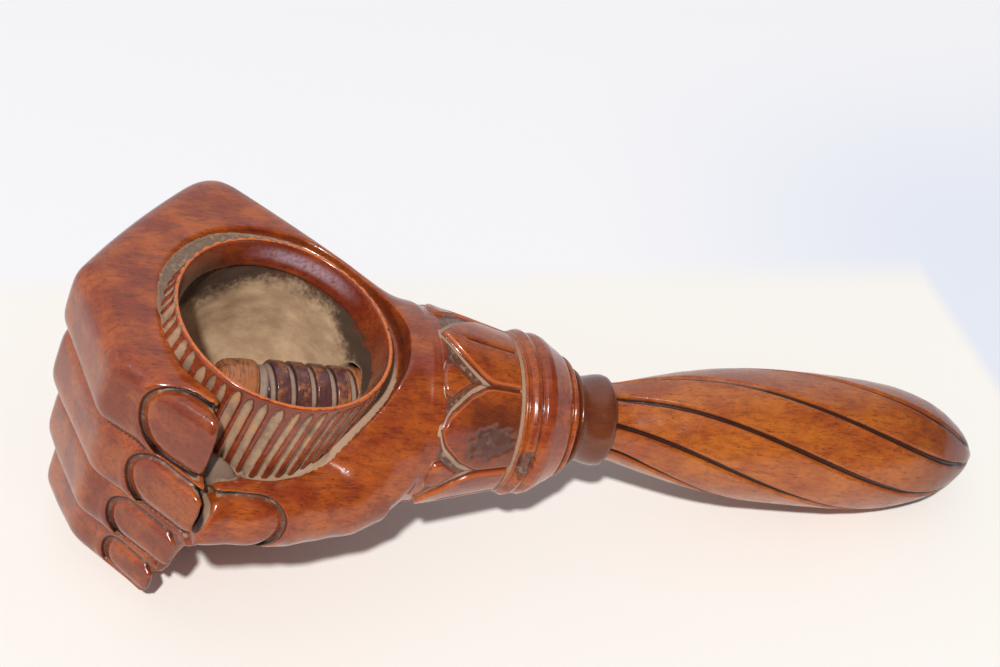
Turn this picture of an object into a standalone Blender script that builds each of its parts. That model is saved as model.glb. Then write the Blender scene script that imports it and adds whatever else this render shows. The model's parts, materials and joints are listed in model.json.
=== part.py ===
"""A carved wooden nutcracker: a right hand in a fist holds a hollow bowl for the nut.

A wooden screw comes in through the wrist and presses the nut against the bowl's far wall.
Its handle is a long grip with spiral flutes. Everything is modelled in the hand's frame:
+X runs along the screw from the bowl to the handle, +Y points to the back of the hand and
+Z to the thumb's side. The origin is where the screw's axis crosses the bowl's axis.
One empty then lays the finished nutcracker on the table, resting on the fist's heel and
on the handle.
"""

import math

import bmesh
import bpy
import numpy as np
from mathutils import Matrix, Vector

MM = 0.001

# The bowl that holds the nut, turned about an axis that leans a little to the handle
BOWL_LEAN = math.radians(4.6)
RIM_RADIUS = 18.5 * MM
RIM_LIP = 0.9 * MM
RIM_HEIGHT = 17.2 * MM
NECK_DEPTH = 5.0 * MM
NECK_STEP = 1.3 * MM
HOLLOW_STEP = 0.9 * MM
HOLLOW_HEIGHT = 2.0 * MM
BOWL_BOTTOM = 18.0 * MM
CUP_WAIST_STEP = 0.6 * MM
CUP_FOOT_RADIUS = 15.5 * MM
CUP_FOOT_DEPTH = 22.0 * MM

# The ledge in the hand round the bowl, and the flutes that the same cut leaves on the bowl
LEDGE_WIDTH = 6.1 * MM
LEDGE_HEIGHT = 13.6 * MM
CUP_FLUTES = 48
CUP_FLUTE_DEPTH = 0.75 * MM
CUP_FLUTE_TOP = 16.2 * MM
WALL_SHAVE = 0.06 * MM

# The clenched fingers, stacked from the index finger down to the little one
KNUCKLE_REACH = 32.3 * MM
BACK_REACH = 41.5 * MM
FIST_TOP = 13.4 * MM
FINGER_THICKNESS = 15.0 * MM
FINGER_HEIGHT = 15.0 * MM
FINGER_OVERLAP = 0.9 * MM
CORNER_SETBACK = 2.6 * MM
CORNER_EASE = 0.7 * MM
TIP_RADIUS = 2.5 * MM

# The thumb, laid along the front of the bowl
THUMB_RADIUS = 7.2 * MM
THUMB_REACH = 19.6 * MM
THUMB_DROP = 8.8 * MM
THUMB_LENGTH = 40.0 * MM

# The palm and the back of the hand
FIST_DEPTH = 44.0 * MM
PALM_LENGTH = 28.5 * MM

# The wrist with its carved cuff and turned rings, all about the screw's axis
WRIST_RADIUS = 17.2 * MM
CUFF_START = 28.2 * MM
CUFF_LENGTH = 16.0 * MM
CUFF_FRONT_RADIUS = 17.9 * MM
CUFF_BACK_RADIUS = 14.4 * MM
BEAD_RADIUS = 14.7 * MM
BEAD_LENGTH = 6.8 * MM
RING_RADIUS = 11.9 * MM
RING_END_RADIUS = 9.8 * MM
RING_LENGTH = 5.0 * MM
WRIST_NECK_RADIUS = 8.8 * MM
WRIST_NECK_LENGTH = 1.5 * MM

# The screw, drawn as it stands when it is turned fully in
PITCH = 3.6 * MM
SCREW_RADIUS = 5.2 * MM
THREAD_DEPTH = 1.1 * MM
THREAD_GAP = 0.35 * MM
TURNS_OUT = 6
SCREW_TIP = 0.6 * MM
TENON_RADIUS = 3.8 * MM
TENON_LENGTH = 14.0 * MM

# The plain pressure nose that turns loosely on the screw's end
NOSE_RADIUS = 4.9 * MM
NOSE_LENGTH = 6.8 * MM
NOSE_EDGE = 0.8 * MM
SPIGOT_RADIUS = 2.2 * MM
SPIGOT_LENGTH = 4.2 * MM
NOSE_SEAT_RADIUS = 6.0 * MM

# The handle: a small bead, a waisted collar and the spiral grip
FLANGE_RADIUS = 9.0 * MM
FLANGE_LENGTH = 1.2 * MM
WAIST_RADIUS = 7.7 * MM
COLLAR_RADIUS = 8.3 * MM
COLLAR_LENGTH = 6.6 * MM
GRIP_NECK_RADIUS = 6.8 * MM
GRIP_RADIUS = 12.85 * MM
GRIP_LENGTH = 77.5 * MM
FLUTES = 8
FLUTE_DEPTH = 0.9 * MM
FLUTE_TWIST = math.radians(112)
FLUTE_START = math.radians(3)

# The gap between pieces that meet, the worn flat that it rests on, and how far cuts run past
SEAT_GAP = 0.3 * MM
HEEL_FLAT = 0.9 * MM
OVERRUN = 1.0 * MM

# How finely the round forms are divided, and how squarish their sections are
SIDES = 48
PALM_SIDES = 36
THUMB_SIDES = 20
THREAD_SIDES = 24
FINGER_LEVELS = 10
TIP_STEPS = 4
FINGER_POWER = 2.6
PALM_POWER = 2.5
THUMB_POWER = 2.2
ROUND_POWER = 2.0

FINGER_NAMES = ("index", "middle", "ring", "little")
# Shares of a finger's height for the index, middle, ring and little finger
FINGER_HEIGHT_SHARES = (0.947, 1.0, 0.96, 0.9)
# Each finger's outer route in plan from the wrist or the back knuckle round to its tip,
# as shares of the knuckles' reach along X and of the back's reach along Y
BACK_SHARES = ((0.76, 0.385), (0.55, 0.53), (0.297, 0.733))
ROUTE_SHARES = (
    BACK_SHARES + ((-0.19, 0.985), (-0.52, 0.79), (-1.0, 0.28), (-0.855, -0.23), (-0.455, -0.48)),
    BACK_SHARES + ((-0.19, 0.975), (-0.5, 0.78), (-0.97, 0.28), (-0.8, -0.24), (-0.43, -0.52)),
    ((-0.17, 0.94), (-0.46, 0.76), (-0.92, 0.29), (-0.78, -0.16), (-0.437, -0.422)),
    ((-0.15, 0.87), (-0.42, 0.7), (-0.85, 0.28), (-0.71, -0.045), (-0.443, -0.275)),
)
# A bend sharper than this is a knuckle, whose corner is eased
KNUCKLE_BEND = math.radians(25)
FINGER_SWEEP = math.radians(164)
SHARP_BEND = math.radians(40)
# Sections of the palm: share of its length along X, then shares of the back's reach for
# the back and front edges, and shares of the fist's depth for the top and bottom
PALM_SHARES = (
    (-0.52, 0.72, -0.24, 0.27, -0.96),
    (-0.21, 0.93, -0.26, 0.27, -1.0),
    (0.04, 0.89, -0.24, 0.27, -1.0),
    (0.32, 0.75, -0.17, 0.27, -0.96),
    (0.6, 0.59, -0.12, 0.295, -0.88),
    (0.82, 0.48, -0.2, 0.325, -0.58),
    (1.0, 0.41, -0.36, 0.365, -0.42),
)
# The ledge round the bowl: share of a turn from the handle's side towards the back of the
# hand, its edge as a share of the rim's radius and the ledge's width together, and its floor
# as a share of its height
LEDGE_SHARES = (
    (-0.5, 0.83, 0.925), (-0.42, 0.8, 0.88), (-0.397, 0.793, 0.735), (-0.36, 0.785, 0.3), (-0.32, 0.775, 0.05),
    (-0.19, 0.785, 0.07), (-0.16, 0.813, 0.1), (-0.133, 0.854, 0.26), (-0.106, 0.89, 0.55), (-0.078, 0.907, 0.79),
    (-0.042, 0.907, 0.94), (0.014, 0.907, 1.0), (0.125, 0.927, 1.0), (0.2, 0.984, 0.955), (0.306, 1.0, 0.925),
    (0.35, 0.976, 0.92), (0.406, 0.927, 0.92), (0.5, 0.83, 0.925),
)
# The thumb's middle line: shares of its length along X, of its reach along -Y and of its
# drop along -Z, and the radius there as a share of the thumb's radius
THUMB_SHARES = (
    (0.65, 0.36, 0.1, 1.17),
    (0.525, 0.59, 0.68, 1.11),
    (0.41, 0.7, 0.92, 1.05),
    (0.28, 0.78, 0.98, 1.0),
    (0.1, 0.87, 1.0, 1.0),
    (-0.075, 0.95, 1.0, 1.0),
    (-0.175, 0.985, 1.0, 0.92),
    (-0.24, 1.0, 1.0, 0.72),
    (-0.268, 1.0, 1.0, 0.42),
)
# The bead next to the cuff: share of its length, and its radius as a share of the full one
BEAD_SHARES = (
    (0.0, 0.93), (0.07, 0.965), (0.2, 0.99), (0.4, 1.0), (0.6, 0.995), (0.78, 0.96), (0.9, 0.9), (1.0, 0.81),
)
# The collar: share of its length, and share of the way from its waist to its full radius
COLLAR_SHARES = ((0.12, 0.0), (0.45, 0.5), (0.8, 1.0), (0.96, 0.7))
FLANGE_EDGE_SHARE = 0.93
GRIP_TIP_SHARE = 0.06
# Where the thread's flanks start and end, as shares of one pitch
THREAD_SHARES = (0.0, 0.25, 0.5, 0.75)
CREST_SHARES = (0.0, 0.0, 1.0, 1.0)
# The grip's outline: share of its length, and share of the way from the neck's radius to
# the full radius; past the widest place the second share is of the full radius
GRIP_SWELL_SHARES = (
    (0.0, 0.0), (0.03, 0.07), (0.07, 0.21), (0.126, 0.4), (0.19, 0.6), (0.274, 0.78), (0.36, 0.9), (0.45, 0.97),
)
GRIP_END_SHARES = (
    (0.535, 1.0), (0.61, 0.995), (0.69, 0.965), (0.76, 0.915), (0.81, 0.85), (0.86, 0.755), (0.905, 0.62),
    (0.945, 0.46), (0.975, 0.3), (0.993, 0.15),
)


def clear_scene():
    for old in list(bpy.data.objects):
        bpy.data.objects.remove(old)


def wood(name, colour, roughness):
    """A polished wood finish."""
    material = bpy.data.materials.new(name)
    material.use_nodes = True
    shader = material.node_tree.nodes["Principled BSDF"]
    shader.inputs["Base Color"].default_value = (*colour, 1)
    shader.inputs["Roughness"].default_value = roughness
    shader.inputs["Metallic"].default_value = 0
    return material


def solid(name, points, faces, material=None, cutter=False):
    """One closed mesh, with its faces turned outwards."""
    mesh = bpy.data.meshes.new(name)
    mesh.from_pydata([tuple(p) for p in points], [], faces)
    shaped = bmesh.new()
    shaped.from_mesh(mesh)
    bmesh.ops.recalc_face_normals(shaped, faces=shaped.faces)
    shaped.to_mesh(mesh)
    shaped.free()
    piece = bpy.data.objects.new(name, mesh)
    bpy.context.collection.objects.link(piece)
    if material:
        mesh.materials.append(material)
    if cutter:
        piece.hide_render = True
        piece.display_type = "WIRE"
    return piece


def skin(rings):
    """Points and faces of a stack of rings with equal counts, closed by a cap at each end."""
    count = len(rings[0])
    points = [p for ring in rings for p in ring]
    faces = []
    for row in range(len(rings) - 1):
        for i in range(count):
            j = (i + 1) % count
            low, high = row * count, (row + 1) * count
            faces.append((low + i, low + j, high + j, high + i))
    faces.append(tuple(range(count)))
    faces.append(tuple(range((len(rings) - 1) * count, len(rings) * count)))
    return points, faces


def looped(sections):
    """Points and faces of sections with equal counts that follow each other round in a ring."""
    count = len(sections[0])
    points = [p for section in sections for p in section]
    faces = []
    for row in range(len(sections)):
        here, there = row * count, (row + 1) % len(sections) * count
        for i in range(count):
            j = (i + 1) % count
            faces.append((here + i, here + j, there + j, there + i))
    return points, faces


def round_ring(along, radius, sides=SIDES, turn=0.0):
    """A circle about the X axis."""
    angles = [turn + math.tau * i / sides for i in range(sides)]
    return [Vector((along, radius * math.cos(a), radius * math.sin(a))) for a in angles]


def turned(profile, sides=SIDES):
    """Rings about the X axis for a profile of (place along the axis, radius)."""
    return [round_ring(along, radius, sides) for along, radius in profile]


def upright(rings):
    """The same rings about the bowl's leaning axis."""
    swap = Matrix.Rotation(BOWL_LEAN - math.pi / 2, 3, "Y")
    return [[swap @ p for p in ring] for ring in rings]


def squared(angle, power):
    """A point on a rounded square of half-width 1: an ellipse for a power of 2."""
    c, s = math.cos(angle), math.sin(angle)
    grow = 2 / power
    return math.copysign(abs(c) ** grow, c), math.copysign(abs(s) ** grow, s)


def cut(target, tool, operation="DIFFERENCE"):
    """Join or cut with a tool that stays out of the model."""
    change = target.modifiers.new(operation.lower() + "_" + tool.name, "BOOLEAN")
    change.operation = operation
    change.solver = "EXACT"
    change.object = tool


def finger_route(shares):
    return [Vector((KNUCKLE_REACH * x, BACK_REACH * y, 0)) for x, y in shares]


def finger_outline(route):
    """A bent finger in plan, as pairs of a point and the way that it moves when inset.

    It follows the route round the eased knuckles and the rounded tip, then goes back
    through the bowl, whose inside is cut away later, so those inner points stay still.
    """
    up = Vector((0, 0, 1))
    headings = [(b - a).normalized() for a, b in zip(route, route[1:])]
    outs = [heading.cross(up) for heading in headings]
    outline = [(route[0], headings[0] - outs[0])]
    for i, corner in enumerate(route[1:-1]):
        mitre = (outs[i] + outs[i + 1]).normalized()
        inward = -mitre / mitre.dot(outs[i])
        if headings[i].angle(headings[i + 1]) > KNUCKLE_BEND:
            outline.append((corner - headings[i] * CORNER_SETBACK, inward))
            outline.append((corner - mitre * CORNER_EASE, inward))
            outline.append((corner + headings[i + 1] * CORNER_SETBACK, inward))
        else:
            outline.append((corner, inward))
    pivot = route[-1] - outs[-1] * TIP_RADIUS
    facing = math.atan2(outs[-1].y, outs[-1].x)
    for step in range(TIP_STEPS + 1):
        angle = facing - facing * step / TIP_STEPS
        spoke = Vector((math.cos(angle), math.sin(angle), 0))
        outline.append((pivot + spoke * TIP_RADIUS, -spoke * 2 * TIP_RADIUS / FINGER_THICKNESS))
    still = Vector((0, 0, 0))
    outline.append((Vector((pivot.x + TIP_RADIUS, pivot.y / 2, 0)), still))
    outline.append((Vector((pivot.x / 2, 0, 0)), still))
    outline.append((Vector((route[0].x * 0.9, 0, 0)), still))
    return outline


def finger(name, route, middle, height):
    """One bent finger: its outline in plan, inset towards its top and bottom."""
    half_thick = FINGER_THICKNESS / 2
    half_high = height / 2 + FINGER_OVERLAP
    rings = []
    for step in range(FINGER_LEVELS + 1):
        angle = FINGER_SWEEP * (step / FINGER_LEVELS - 0.5)
        across, up = squared(angle, FINGER_POWER)
        lift = Vector((0, 0, middle + up * half_high))
        inset = half_thick * (1 - across)
        rings.append([point + way * inset + lift for point, way in finger_outline(route)])
    return solid(name, *skin(rings), cutter=True)


def palm():
    """The palm, heel and back of the hand: rounded sections lofted along the screw."""
    rings = []
    for along, back, front, top, bottom in PALM_SHARES:
        high, low = FIST_DEPTH * top, FIST_DEPTH * bottom
        far, near = BACK_REACH * back, BACK_REACH * front
        ring = []
        for step in range(PALM_SIDES):
            angle = math.tau * step / PALM_SIDES
            under_front = math.cos(angle) < 0 and math.sin(angle) < 0
            across, up = squared(angle, ROUND_POWER if under_front else PALM_POWER)
            y = (far + near) / 2 + across * (far - near) / 2
            z = (high + low) / 2 + up * (high - low) / 2
            ring.append(Vector((PALM_LENGTH * along, y, z)))
        rings.append(ring)
    rings.append(round_ring(CUFF_START + CUFF_LENGTH / 2, CUFF_BACK_RADIUS, PALM_SIDES))
    return solid("palm_form", *skin(rings), cutter=True)


def thumb():
    """The thumb: rounded sections carried along its middle line."""
    middles = [
        Vector((THUMB_LENGTH * x, -THUMB_REACH * y, -THUMB_DROP * z)) for x, y, z, _ in THUMB_SHARES
    ]
    rings = []
    last = len(middles) - 1
    for i, middle in enumerate(middles):
        radius = THUMB_RADIUS * THUMB_SHARES[i][3]
        heading = (middles[min(i + 1, last)] - middles[max(i - 1, 0)]).normalized()
        side = heading.cross(Vector((0, 0, 1))).normalized()
        up = side.cross(heading)
        ring = []
        for step in range(THUMB_SIDES):
            across, rise = squared(math.tau * step / THUMB_SIDES, THUMB_POWER)
            ring.append(middle + side * across * radius + up * rise * radius)
        rings.append(ring)
    return solid("thumb_form", *skin(rings), cutter=True)


def wrist():
    """The wrist, the cuff's raised band and the two turned rings, with the neck's end."""
    cuff_end = CUFF_START + CUFF_LENGTH
    bead_end = cuff_end + BEAD_LENGTH
    ring_end = bead_end + RING_LENGTH
    neck_end = ring_end + WRIST_NECK_LENGTH
    profile = [(RIM_RADIUS * 0.9, CUP_FOOT_RADIUS), (CUFF_START, WRIST_RADIUS)]
    profile += [(CUFF_START + CUFF_LENGTH / 20, CUFF_FRONT_RADIUS), (cuff_end, CUFF_BACK_RADIUS)]
    profile += [(cuff_end + BEAD_LENGTH * share, BEAD_RADIUS * size) for share, size in BEAD_SHARES[1:]]
    profile += [(bead_end + RING_LENGTH / 20, RING_RADIUS)]
    profile += [(bead_end + RING_LENGTH / 2, (RING_RADIUS + RING_END_RADIUS) / 2 + RING_LENGTH / 12)]
    profile += [(ring_end, RING_END_RADIUS)]
    profile += [(ring_end + WRIST_NECK_LENGTH / 4, WRIST_NECK_RADIUS), (neck_end, WRIST_NECK_RADIUS)]
    return solid("wrist_form", *skin(turned(profile)), cutter=True), neck_end


def cup(material):
    """The outside of the bowl, down to where the fingers hold it. The fist grows from it."""
    outer = RIM_RADIUS + RIM_LIP
    profile = [(-CUP_FOOT_DEPTH, CUP_FOOT_RADIUS), (0, RIM_RADIUS - CUP_WAIST_STEP), (RIM_HEIGHT, outer)]
    return solid("carved_fist", *skin(upright(turned(profile))), material=material)


def ledge():
    """The cut round the bowl: a ledge in the hand, and flutes that fade towards the bowl's foot."""
    lean = (RIM_LIP + CUP_WAIST_STEP) / RIM_HEIGHT
    shaved = RIM_RADIUS - CUP_WAIST_STEP - WALL_SHAVE
    top = RIM_HEIGHT + OVERRUN
    full = CUP_FLUTE_TOP - CUP_FLUTE_DEPTH
    turns, edges, floors = zip(*LEDGE_SHARES)
    columns = CUP_FLUTES * 2
    sections = []
    for column in range(columns):
        turn = (column + 0.5) / columns - 0.5
        edge = (RIM_RADIUS + LEDGE_WIDTH) * float(np.interp(turn, turns, edges))
        floor = LEDGE_HEIGHT * float(np.interp(turn, turns, floors))
        section = [(floor, edge), (top, edge + OVERRUN * 2), (top, shaved + lean * top)]
        section.append((CUP_FLUTE_TOP, shaved + lean * CUP_FLUTE_TOP))
        for height in (full, (full + floor) / 2, floor):
            groove = CUP_FLUTE_DEPTH * height / full if column % 2 else 0
            section.append((height, shaved + lean * height - groove))
        angle = math.tau * turn
        sections.append([Vector((h, r * math.sin(angle), -r * math.cos(angle))) for h, r in section])
    return solid("ledge_form", *looped(upright(sections)), cutter=True)


def hollow():
    """The space for the nut: a short neck, then a rounder hollow with a bowl-shaped floor."""
    neck = RIM_HEIGHT - NECK_DEPTH
    profile = [(RIM_HEIGHT + OVERRUN, RIM_RADIUS), (RIM_HEIGHT, RIM_RADIUS), (neck, RIM_RADIUS - NECK_STEP)]
    widest = RIM_RADIUS - HOLLOW_STEP
    for step in range(9):
        angle = math.radians(-5 + 88 * step / 8)
        depth = BOWL_BOTTOM + HOLLOW_HEIGHT
        profile.append((HOLLOW_HEIGHT - depth * math.sin(angle), widest * math.cos(angle)))
    return solid("hollow_form", *skin(upright(turned(profile))), cutter=True)


def threaded(name, before, start, turns, after, grow, fades, material=None, cutter=False):
    """A right-hand thread about the X axis between two plain ends.

    Column c of the mesh follows the helix, so its rows sit c/columns of a pitch further
    on. A screw's thread fades in over its first turn and out over its last one, and the
    plain profiles before and after it close the two ends.
    """
    columns = THREAD_SIDES
    wider = grow / PITCH
    places = [share + wider * (1 if crest and i > 2 else -1 if i else 0)
              for i, (share, crest) in enumerate(zip(THREAD_SHARES, CREST_SHARES))]
    step = len(places)
    rows = step * turns
    root = SCREW_RADIUS - THREAD_DEPTH + grow
    points, faces, index = [], [], {}

    def add(key, along, radius, angle):
        index[key] = len(points)
        points.append((along, radius * math.cos(angle), radius * math.sin(angle)))

    for column in range(columns):
        angle = math.tau * column / columns
        for row in range(rows + 1):
            turn, part = divmod(row, step)
            travelled = turn + places[part] + column / columns
            fade = 1.0
            if fades:
                fade = min(1.0, max(0.0, travelled * 2 - 0.5), max(0.0, (turns - travelled) * 2))
            add((column, row), start + travelled * PITCH, root + THREAD_DEPTH * CREST_SHARES[part] * fade, angle)
    for column in range(columns - 1):
        for row in range(rows):
            corners = ((column, row), (column + 1, row), (column + 1, row + 1), (column, row + 1))
            faces.append(tuple(index[c] for c in corners))
    last = columns - 1
    for row in range(rows - step):
        corners = ((last, row), (0, row + step), (0, row + step + 1), (last, row + 1))
        faces.append(tuple(index[c] for c in corners))
    for side, profile in (("before", before), ("after", after)):
        for place, (along, radius) in enumerate(profile):
            for column in range(columns):
                add((side, place, column), along, radius, math.tau * column / columns)
        for place in range(len(profile) - 1):
            for column in range(columns):
                beside = (column + 1) % columns
                near = ((side, place, column), (side, place, beside))
                corners = near + ((side, place + 1, beside), (side, place + 1, column))
                faces.append(tuple(index[c] for c in corners))
        faces.append(tuple(index[(side, len(profile) - 1, column)] for column in range(columns)))
    for column in range(last):
        first = (("before", 0, column), ("before", 0, column + 1), (column + 1, 0), (column, 0))
        final = (("after", 0, column), ("after", 0, column + 1), (column + 1, rows), (column, rows))
        faces.append(tuple(index[c] for c in first))
        faces.append(tuple(index[c] for c in final))
    rise = [("before", 0, last), ("before", 0, 0)] + [(0, row) for row in range(step + 1)] + [(last, 0)]
    fall = [("after", 0, last)] + [(last, row) for row in range(rows, rows - step - 1, -1)]
    fall += [(0, rows), ("after", 0, 0)]
    faces.append(tuple(index[c] for c in rise))
    faces.append(tuple(index[c] for c in fall))
    return solid(name, points, faces, material, cutter)


def screw(wrist_end, material):
    """The screw, with a spigot for the nose at one end and a tenon for the handle."""
    start = SCREW_TIP + SEAT_GAP
    turns = math.floor((wrist_end - start) / PITCH) - 1
    root = SCREW_RADIUS - THREAD_DEPTH
    before = [(SCREW_TIP, root), (SCREW_TIP, SPIGOT_RADIUS), (SCREW_TIP - SPIGOT_LENGTH, SPIGOT_RADIUS)]
    after = [(wrist_end, TENON_RADIUS), (wrist_end + TENON_LENGTH, TENON_RADIUS)]
    return threaded("screw", before, start, turns, after, 0, True, material)


def bore(wrist_end):
    """The threaded hole through the wrist, and the plain seat that the nose draws back into."""
    start = SCREW_TIP + SEAT_GAP + PITCH * (TURNS_OUT - 2)
    turns = math.ceil((wrist_end - start) / PITCH) + 1
    root = SCREW_RADIUS - THREAD_DEPTH + THREAD_GAP
    end = start + PITCH * (turns + 1)
    before = [(start - OVERRUN, root), (start - OVERRUN * 2, root)]
    after = [(end + OVERRUN, root), (end + OVERRUN * 2, root)]
    thread = threaded("bore_form", before, start, turns, after, THREAD_GAP, False, cutter=True)
    seat_end = SCREW_TIP + PITCH * TURNS_OUT
    seat_start = (RIM_RADIUS - HOLLOW_STEP) * 0.6
    plain = turned([(seat_start, NOSE_SEAT_RADIUS), (seat_end, NOSE_SEAT_RADIUS)], THREAD_SIDES)
    return thread, solid("nose_seat_form", *skin(plain), cutter=True)


def handle(wrist_end, material):
    """Bead, collar and grip in one turned shape, with its flutes twisted round the grip."""
    seat = wrist_end + SEAT_GAP
    socket_radius = TENON_RADIUS + SEAT_GAP
    socket_end = wrist_end + TENON_LENGTH + SEAT_GAP
    flange_end = seat + FLANGE_LENGTH
    collar_end = flange_end + COLLAR_LENGTH
    flange_edge = FLANGE_RADIUS * FLANGE_EDGE_SHARE
    profile = [(socket_end, socket_radius, 0), (seat, socket_radius, 0), (seat, flange_edge, 0)]
    profile += [(seat + FLANGE_LENGTH / 2, FLANGE_RADIUS, 0), (flange_end, flange_edge, 0)]
    for share, swell in COLLAR_SHARES:
        radius = WAIST_RADIUS + (COLLAR_RADIUS - WAIST_RADIUS) * swell
        profile.append((flange_end + COLLAR_LENGTH * share, radius, 0))
    for share, swell in GRIP_SWELL_SHARES:
        radius = GRIP_NECK_RADIUS + (GRIP_RADIUS - GRIP_NECK_RADIUS) * swell
        profile.append((collar_end + GRIP_LENGTH * share, radius, 1))
    for share, size in GRIP_END_SHARES:
        profile.append((collar_end + GRIP_LENGTH * share, GRIP_RADIUS * size, 1))
    profile.append((collar_end + GRIP_LENGTH, GRIP_RADIUS * GRIP_TIP_SHARE, 0))
    rings = []
    for along, radius, fluted in profile:
        share = (along - collar_end) / GRIP_LENGTH
        turn = FLUTE_START + FLUTE_TWIST * min(max(share, 0), 1)
        depth = FLUTE_DEPTH * fluted * min(1.0, radius / GRIP_NECK_RADIUS) ** 2
        ring = []
        for step, p in enumerate(round_ring(along, 1.0, SIDES, turn)):
            groove = step % (SIDES // FLUTES) == 0
            reach = radius - (depth if groove else 0)
            ring.append(Vector((along, p.y * reach, p.z * reach)))
        rings.append(ring)
    return solid("handle", *skin(rings), material=material)


def nose(material):
    """The plain button on the screw's end, with a blind hole for the screw's spigot."""
    back = SCREW_TIP - SEAT_GAP
    front = back - NOSE_LENGTH
    hole = SPIGOT_RADIUS + SEAT_GAP
    profile = [(SCREW_TIP - SPIGOT_LENGTH - SEAT_GAP, hole), (back, hole), (back, NOSE_RADIUS - NOSE_EDGE / 2)]
    profile += [(back - NOSE_EDGE, NOSE_RADIUS), (front + NOSE_EDGE * 2, NOSE_RADIUS - NOSE_EDGE / 2)]
    profile += [(front + NOSE_EDGE / 2, NOSE_RADIUS - NOSE_EDGE), (front, NOSE_RADIUS - NOSE_EDGE * 2)]
    return solid("pressure_nose", *skin(turned(profile, THREAD_SIDES)), material=material)


def deepest(points, tilt):
    """How far the points reach below the screw's axis once the hand is tilted."""
    return max(p.x * math.sin(tilt) - p.z * math.cos(tilt) for p in points)


def resting_tilt(fist_points, handle_points):
    """The tilt at which the fist's heel, less its worn flat, and the handle touch one plane."""
    low, high = 0.0, math.radians(45)
    for _ in range(60):
        tilt = (low + high) / 2
        if deepest(fist_points, tilt) - HEEL_FLAT > deepest(handle_points, tilt):
            low = tilt
        else:
            high = tilt
    return tilt


def evaluated_points(piece):
    """The piece's points in the hand's frame, with its modifiers applied."""
    bpy.context.view_layer.update()
    seen = piece.evaluated_get(bpy.context.evaluated_depsgraph_get())
    return [vertex.co.copy() for vertex in seen.data.vertices]


def table_below(depth, tilt):
    """The block under the table plane, which lies at this depth below the screw's axis."""
    down = Vector((math.sin(tilt), 0, -math.cos(tilt)))
    along = Vector((math.cos(tilt), 0, math.sin(tilt)))
    side = Vector((0, FIST_DEPTH * 2, 0))
    reach = along * FIST_DEPTH * 2
    levels = (down * depth, down * (depth + FIST_DEPTH))
    rings = [[p - reach - side, p + reach - side, p + reach + side, p - reach + side] for p in levels]
    return solid("table_form", *skin(rings), cutter=True)


def main():
    clear_scene()
    fist_wood = wood("polished_walnut", (0.36, 0.09, 0.035), 0.22)
    grip_wood = wood("polished_grip", (0.42, 0.12, 0.04), 0.22)
    screw_wood = wood("worn_screw_wood", (0.4, 0.2, 0.12), 0.45)

    fist = cup(fist_wood)
    wrist_form, wrist_end = wrist()
    forms = [palm(), wrist_form, thumb()]
    top = FIST_TOP
    for name, share, shares in zip(FINGER_NAMES, FINGER_HEIGHT_SHARES, ROUTE_SHARES):
        height = FINGER_HEIGHT * share
        forms.append(finger(name + "_form", finger_route(shares), top - height / 2, height))
        top -= height
    hollows = [ledge(), hollow(), *bore(wrist_end)]
    for form in forms:
        cut(fist, form, "UNION")
    for form in hollows:
        cut(fist, form)
    pieces = [fist, screw(wrist_end, screw_wood), handle(wrist_end, grip_wood), nose(screw_wood)]

    grip_points = evaluated_points(pieces[2])
    tilt = resting_tilt(evaluated_points(fist), grip_points)
    table_form = table_below(deepest(grip_points, tilt), tilt)
    cut(fist, table_form)

    frame = bpy.data.objects.new("hand_frame", None)
    bpy.context.collection.objects.link(frame)
    frame.rotation_euler = (0, tilt, 0)
    for piece in pieces + forms + hollows + [table_form]:
        piece.parent = frame
    bpy.context.view_layer.update()
    placed = [frame.matrix_world @ p for piece in (fist, pieces[2]) for p in evaluated_points(piece)]
    lows = [min(p[axis] for p in placed) for axis in range(3)]
    highs = [max(p[axis] for p in placed) for axis in range(3)]
    frame.location = (-(lows[0] + highs[0]) / 2, -(lows[1] + highs[1]) / 2, -lows[2])
    for piece in pieces:
        piece.data.shade_smooth()
        piece.data.set_sharp_from_angle(angle=SHARP_BEND)


main()
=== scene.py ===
# %% [markdown]
# A carved wooden nutcracker: a fist holds a hollow bowl, and a wooden screw comes in through
# the wrist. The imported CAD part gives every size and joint. This script dresses it: it carves
# the skin, nails, flutes and leaves, and polishes, soils and wears the wood.

# %% Load the frame
import json
import math

import bmesh
import bpy
import numpy as np
import openvdb
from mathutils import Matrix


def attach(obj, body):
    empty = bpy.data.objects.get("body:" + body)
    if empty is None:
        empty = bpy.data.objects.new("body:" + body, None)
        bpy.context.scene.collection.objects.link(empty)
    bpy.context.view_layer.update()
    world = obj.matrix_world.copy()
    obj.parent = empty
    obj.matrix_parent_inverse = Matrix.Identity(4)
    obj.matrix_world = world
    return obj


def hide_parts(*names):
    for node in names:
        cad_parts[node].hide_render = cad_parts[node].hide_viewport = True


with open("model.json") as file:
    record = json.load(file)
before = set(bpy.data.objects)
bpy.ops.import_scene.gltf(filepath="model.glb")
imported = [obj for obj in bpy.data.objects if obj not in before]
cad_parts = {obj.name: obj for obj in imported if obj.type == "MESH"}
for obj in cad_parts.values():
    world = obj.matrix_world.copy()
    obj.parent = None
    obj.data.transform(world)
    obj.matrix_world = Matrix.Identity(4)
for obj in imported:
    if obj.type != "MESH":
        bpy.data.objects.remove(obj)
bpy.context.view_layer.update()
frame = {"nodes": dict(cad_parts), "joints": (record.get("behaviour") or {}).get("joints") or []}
print("CAD nodes:", sorted(frame["nodes"]))

# %% [markdown]
# All shapes are worked out in millimetres in the hand's own frame: x runs along the screw to
# the handle, y points to the back of the hand, z to the thumb's side. The handle's joint in the
# record gives that frame's origin and its x direction, so everything follows the CAD part.

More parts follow.
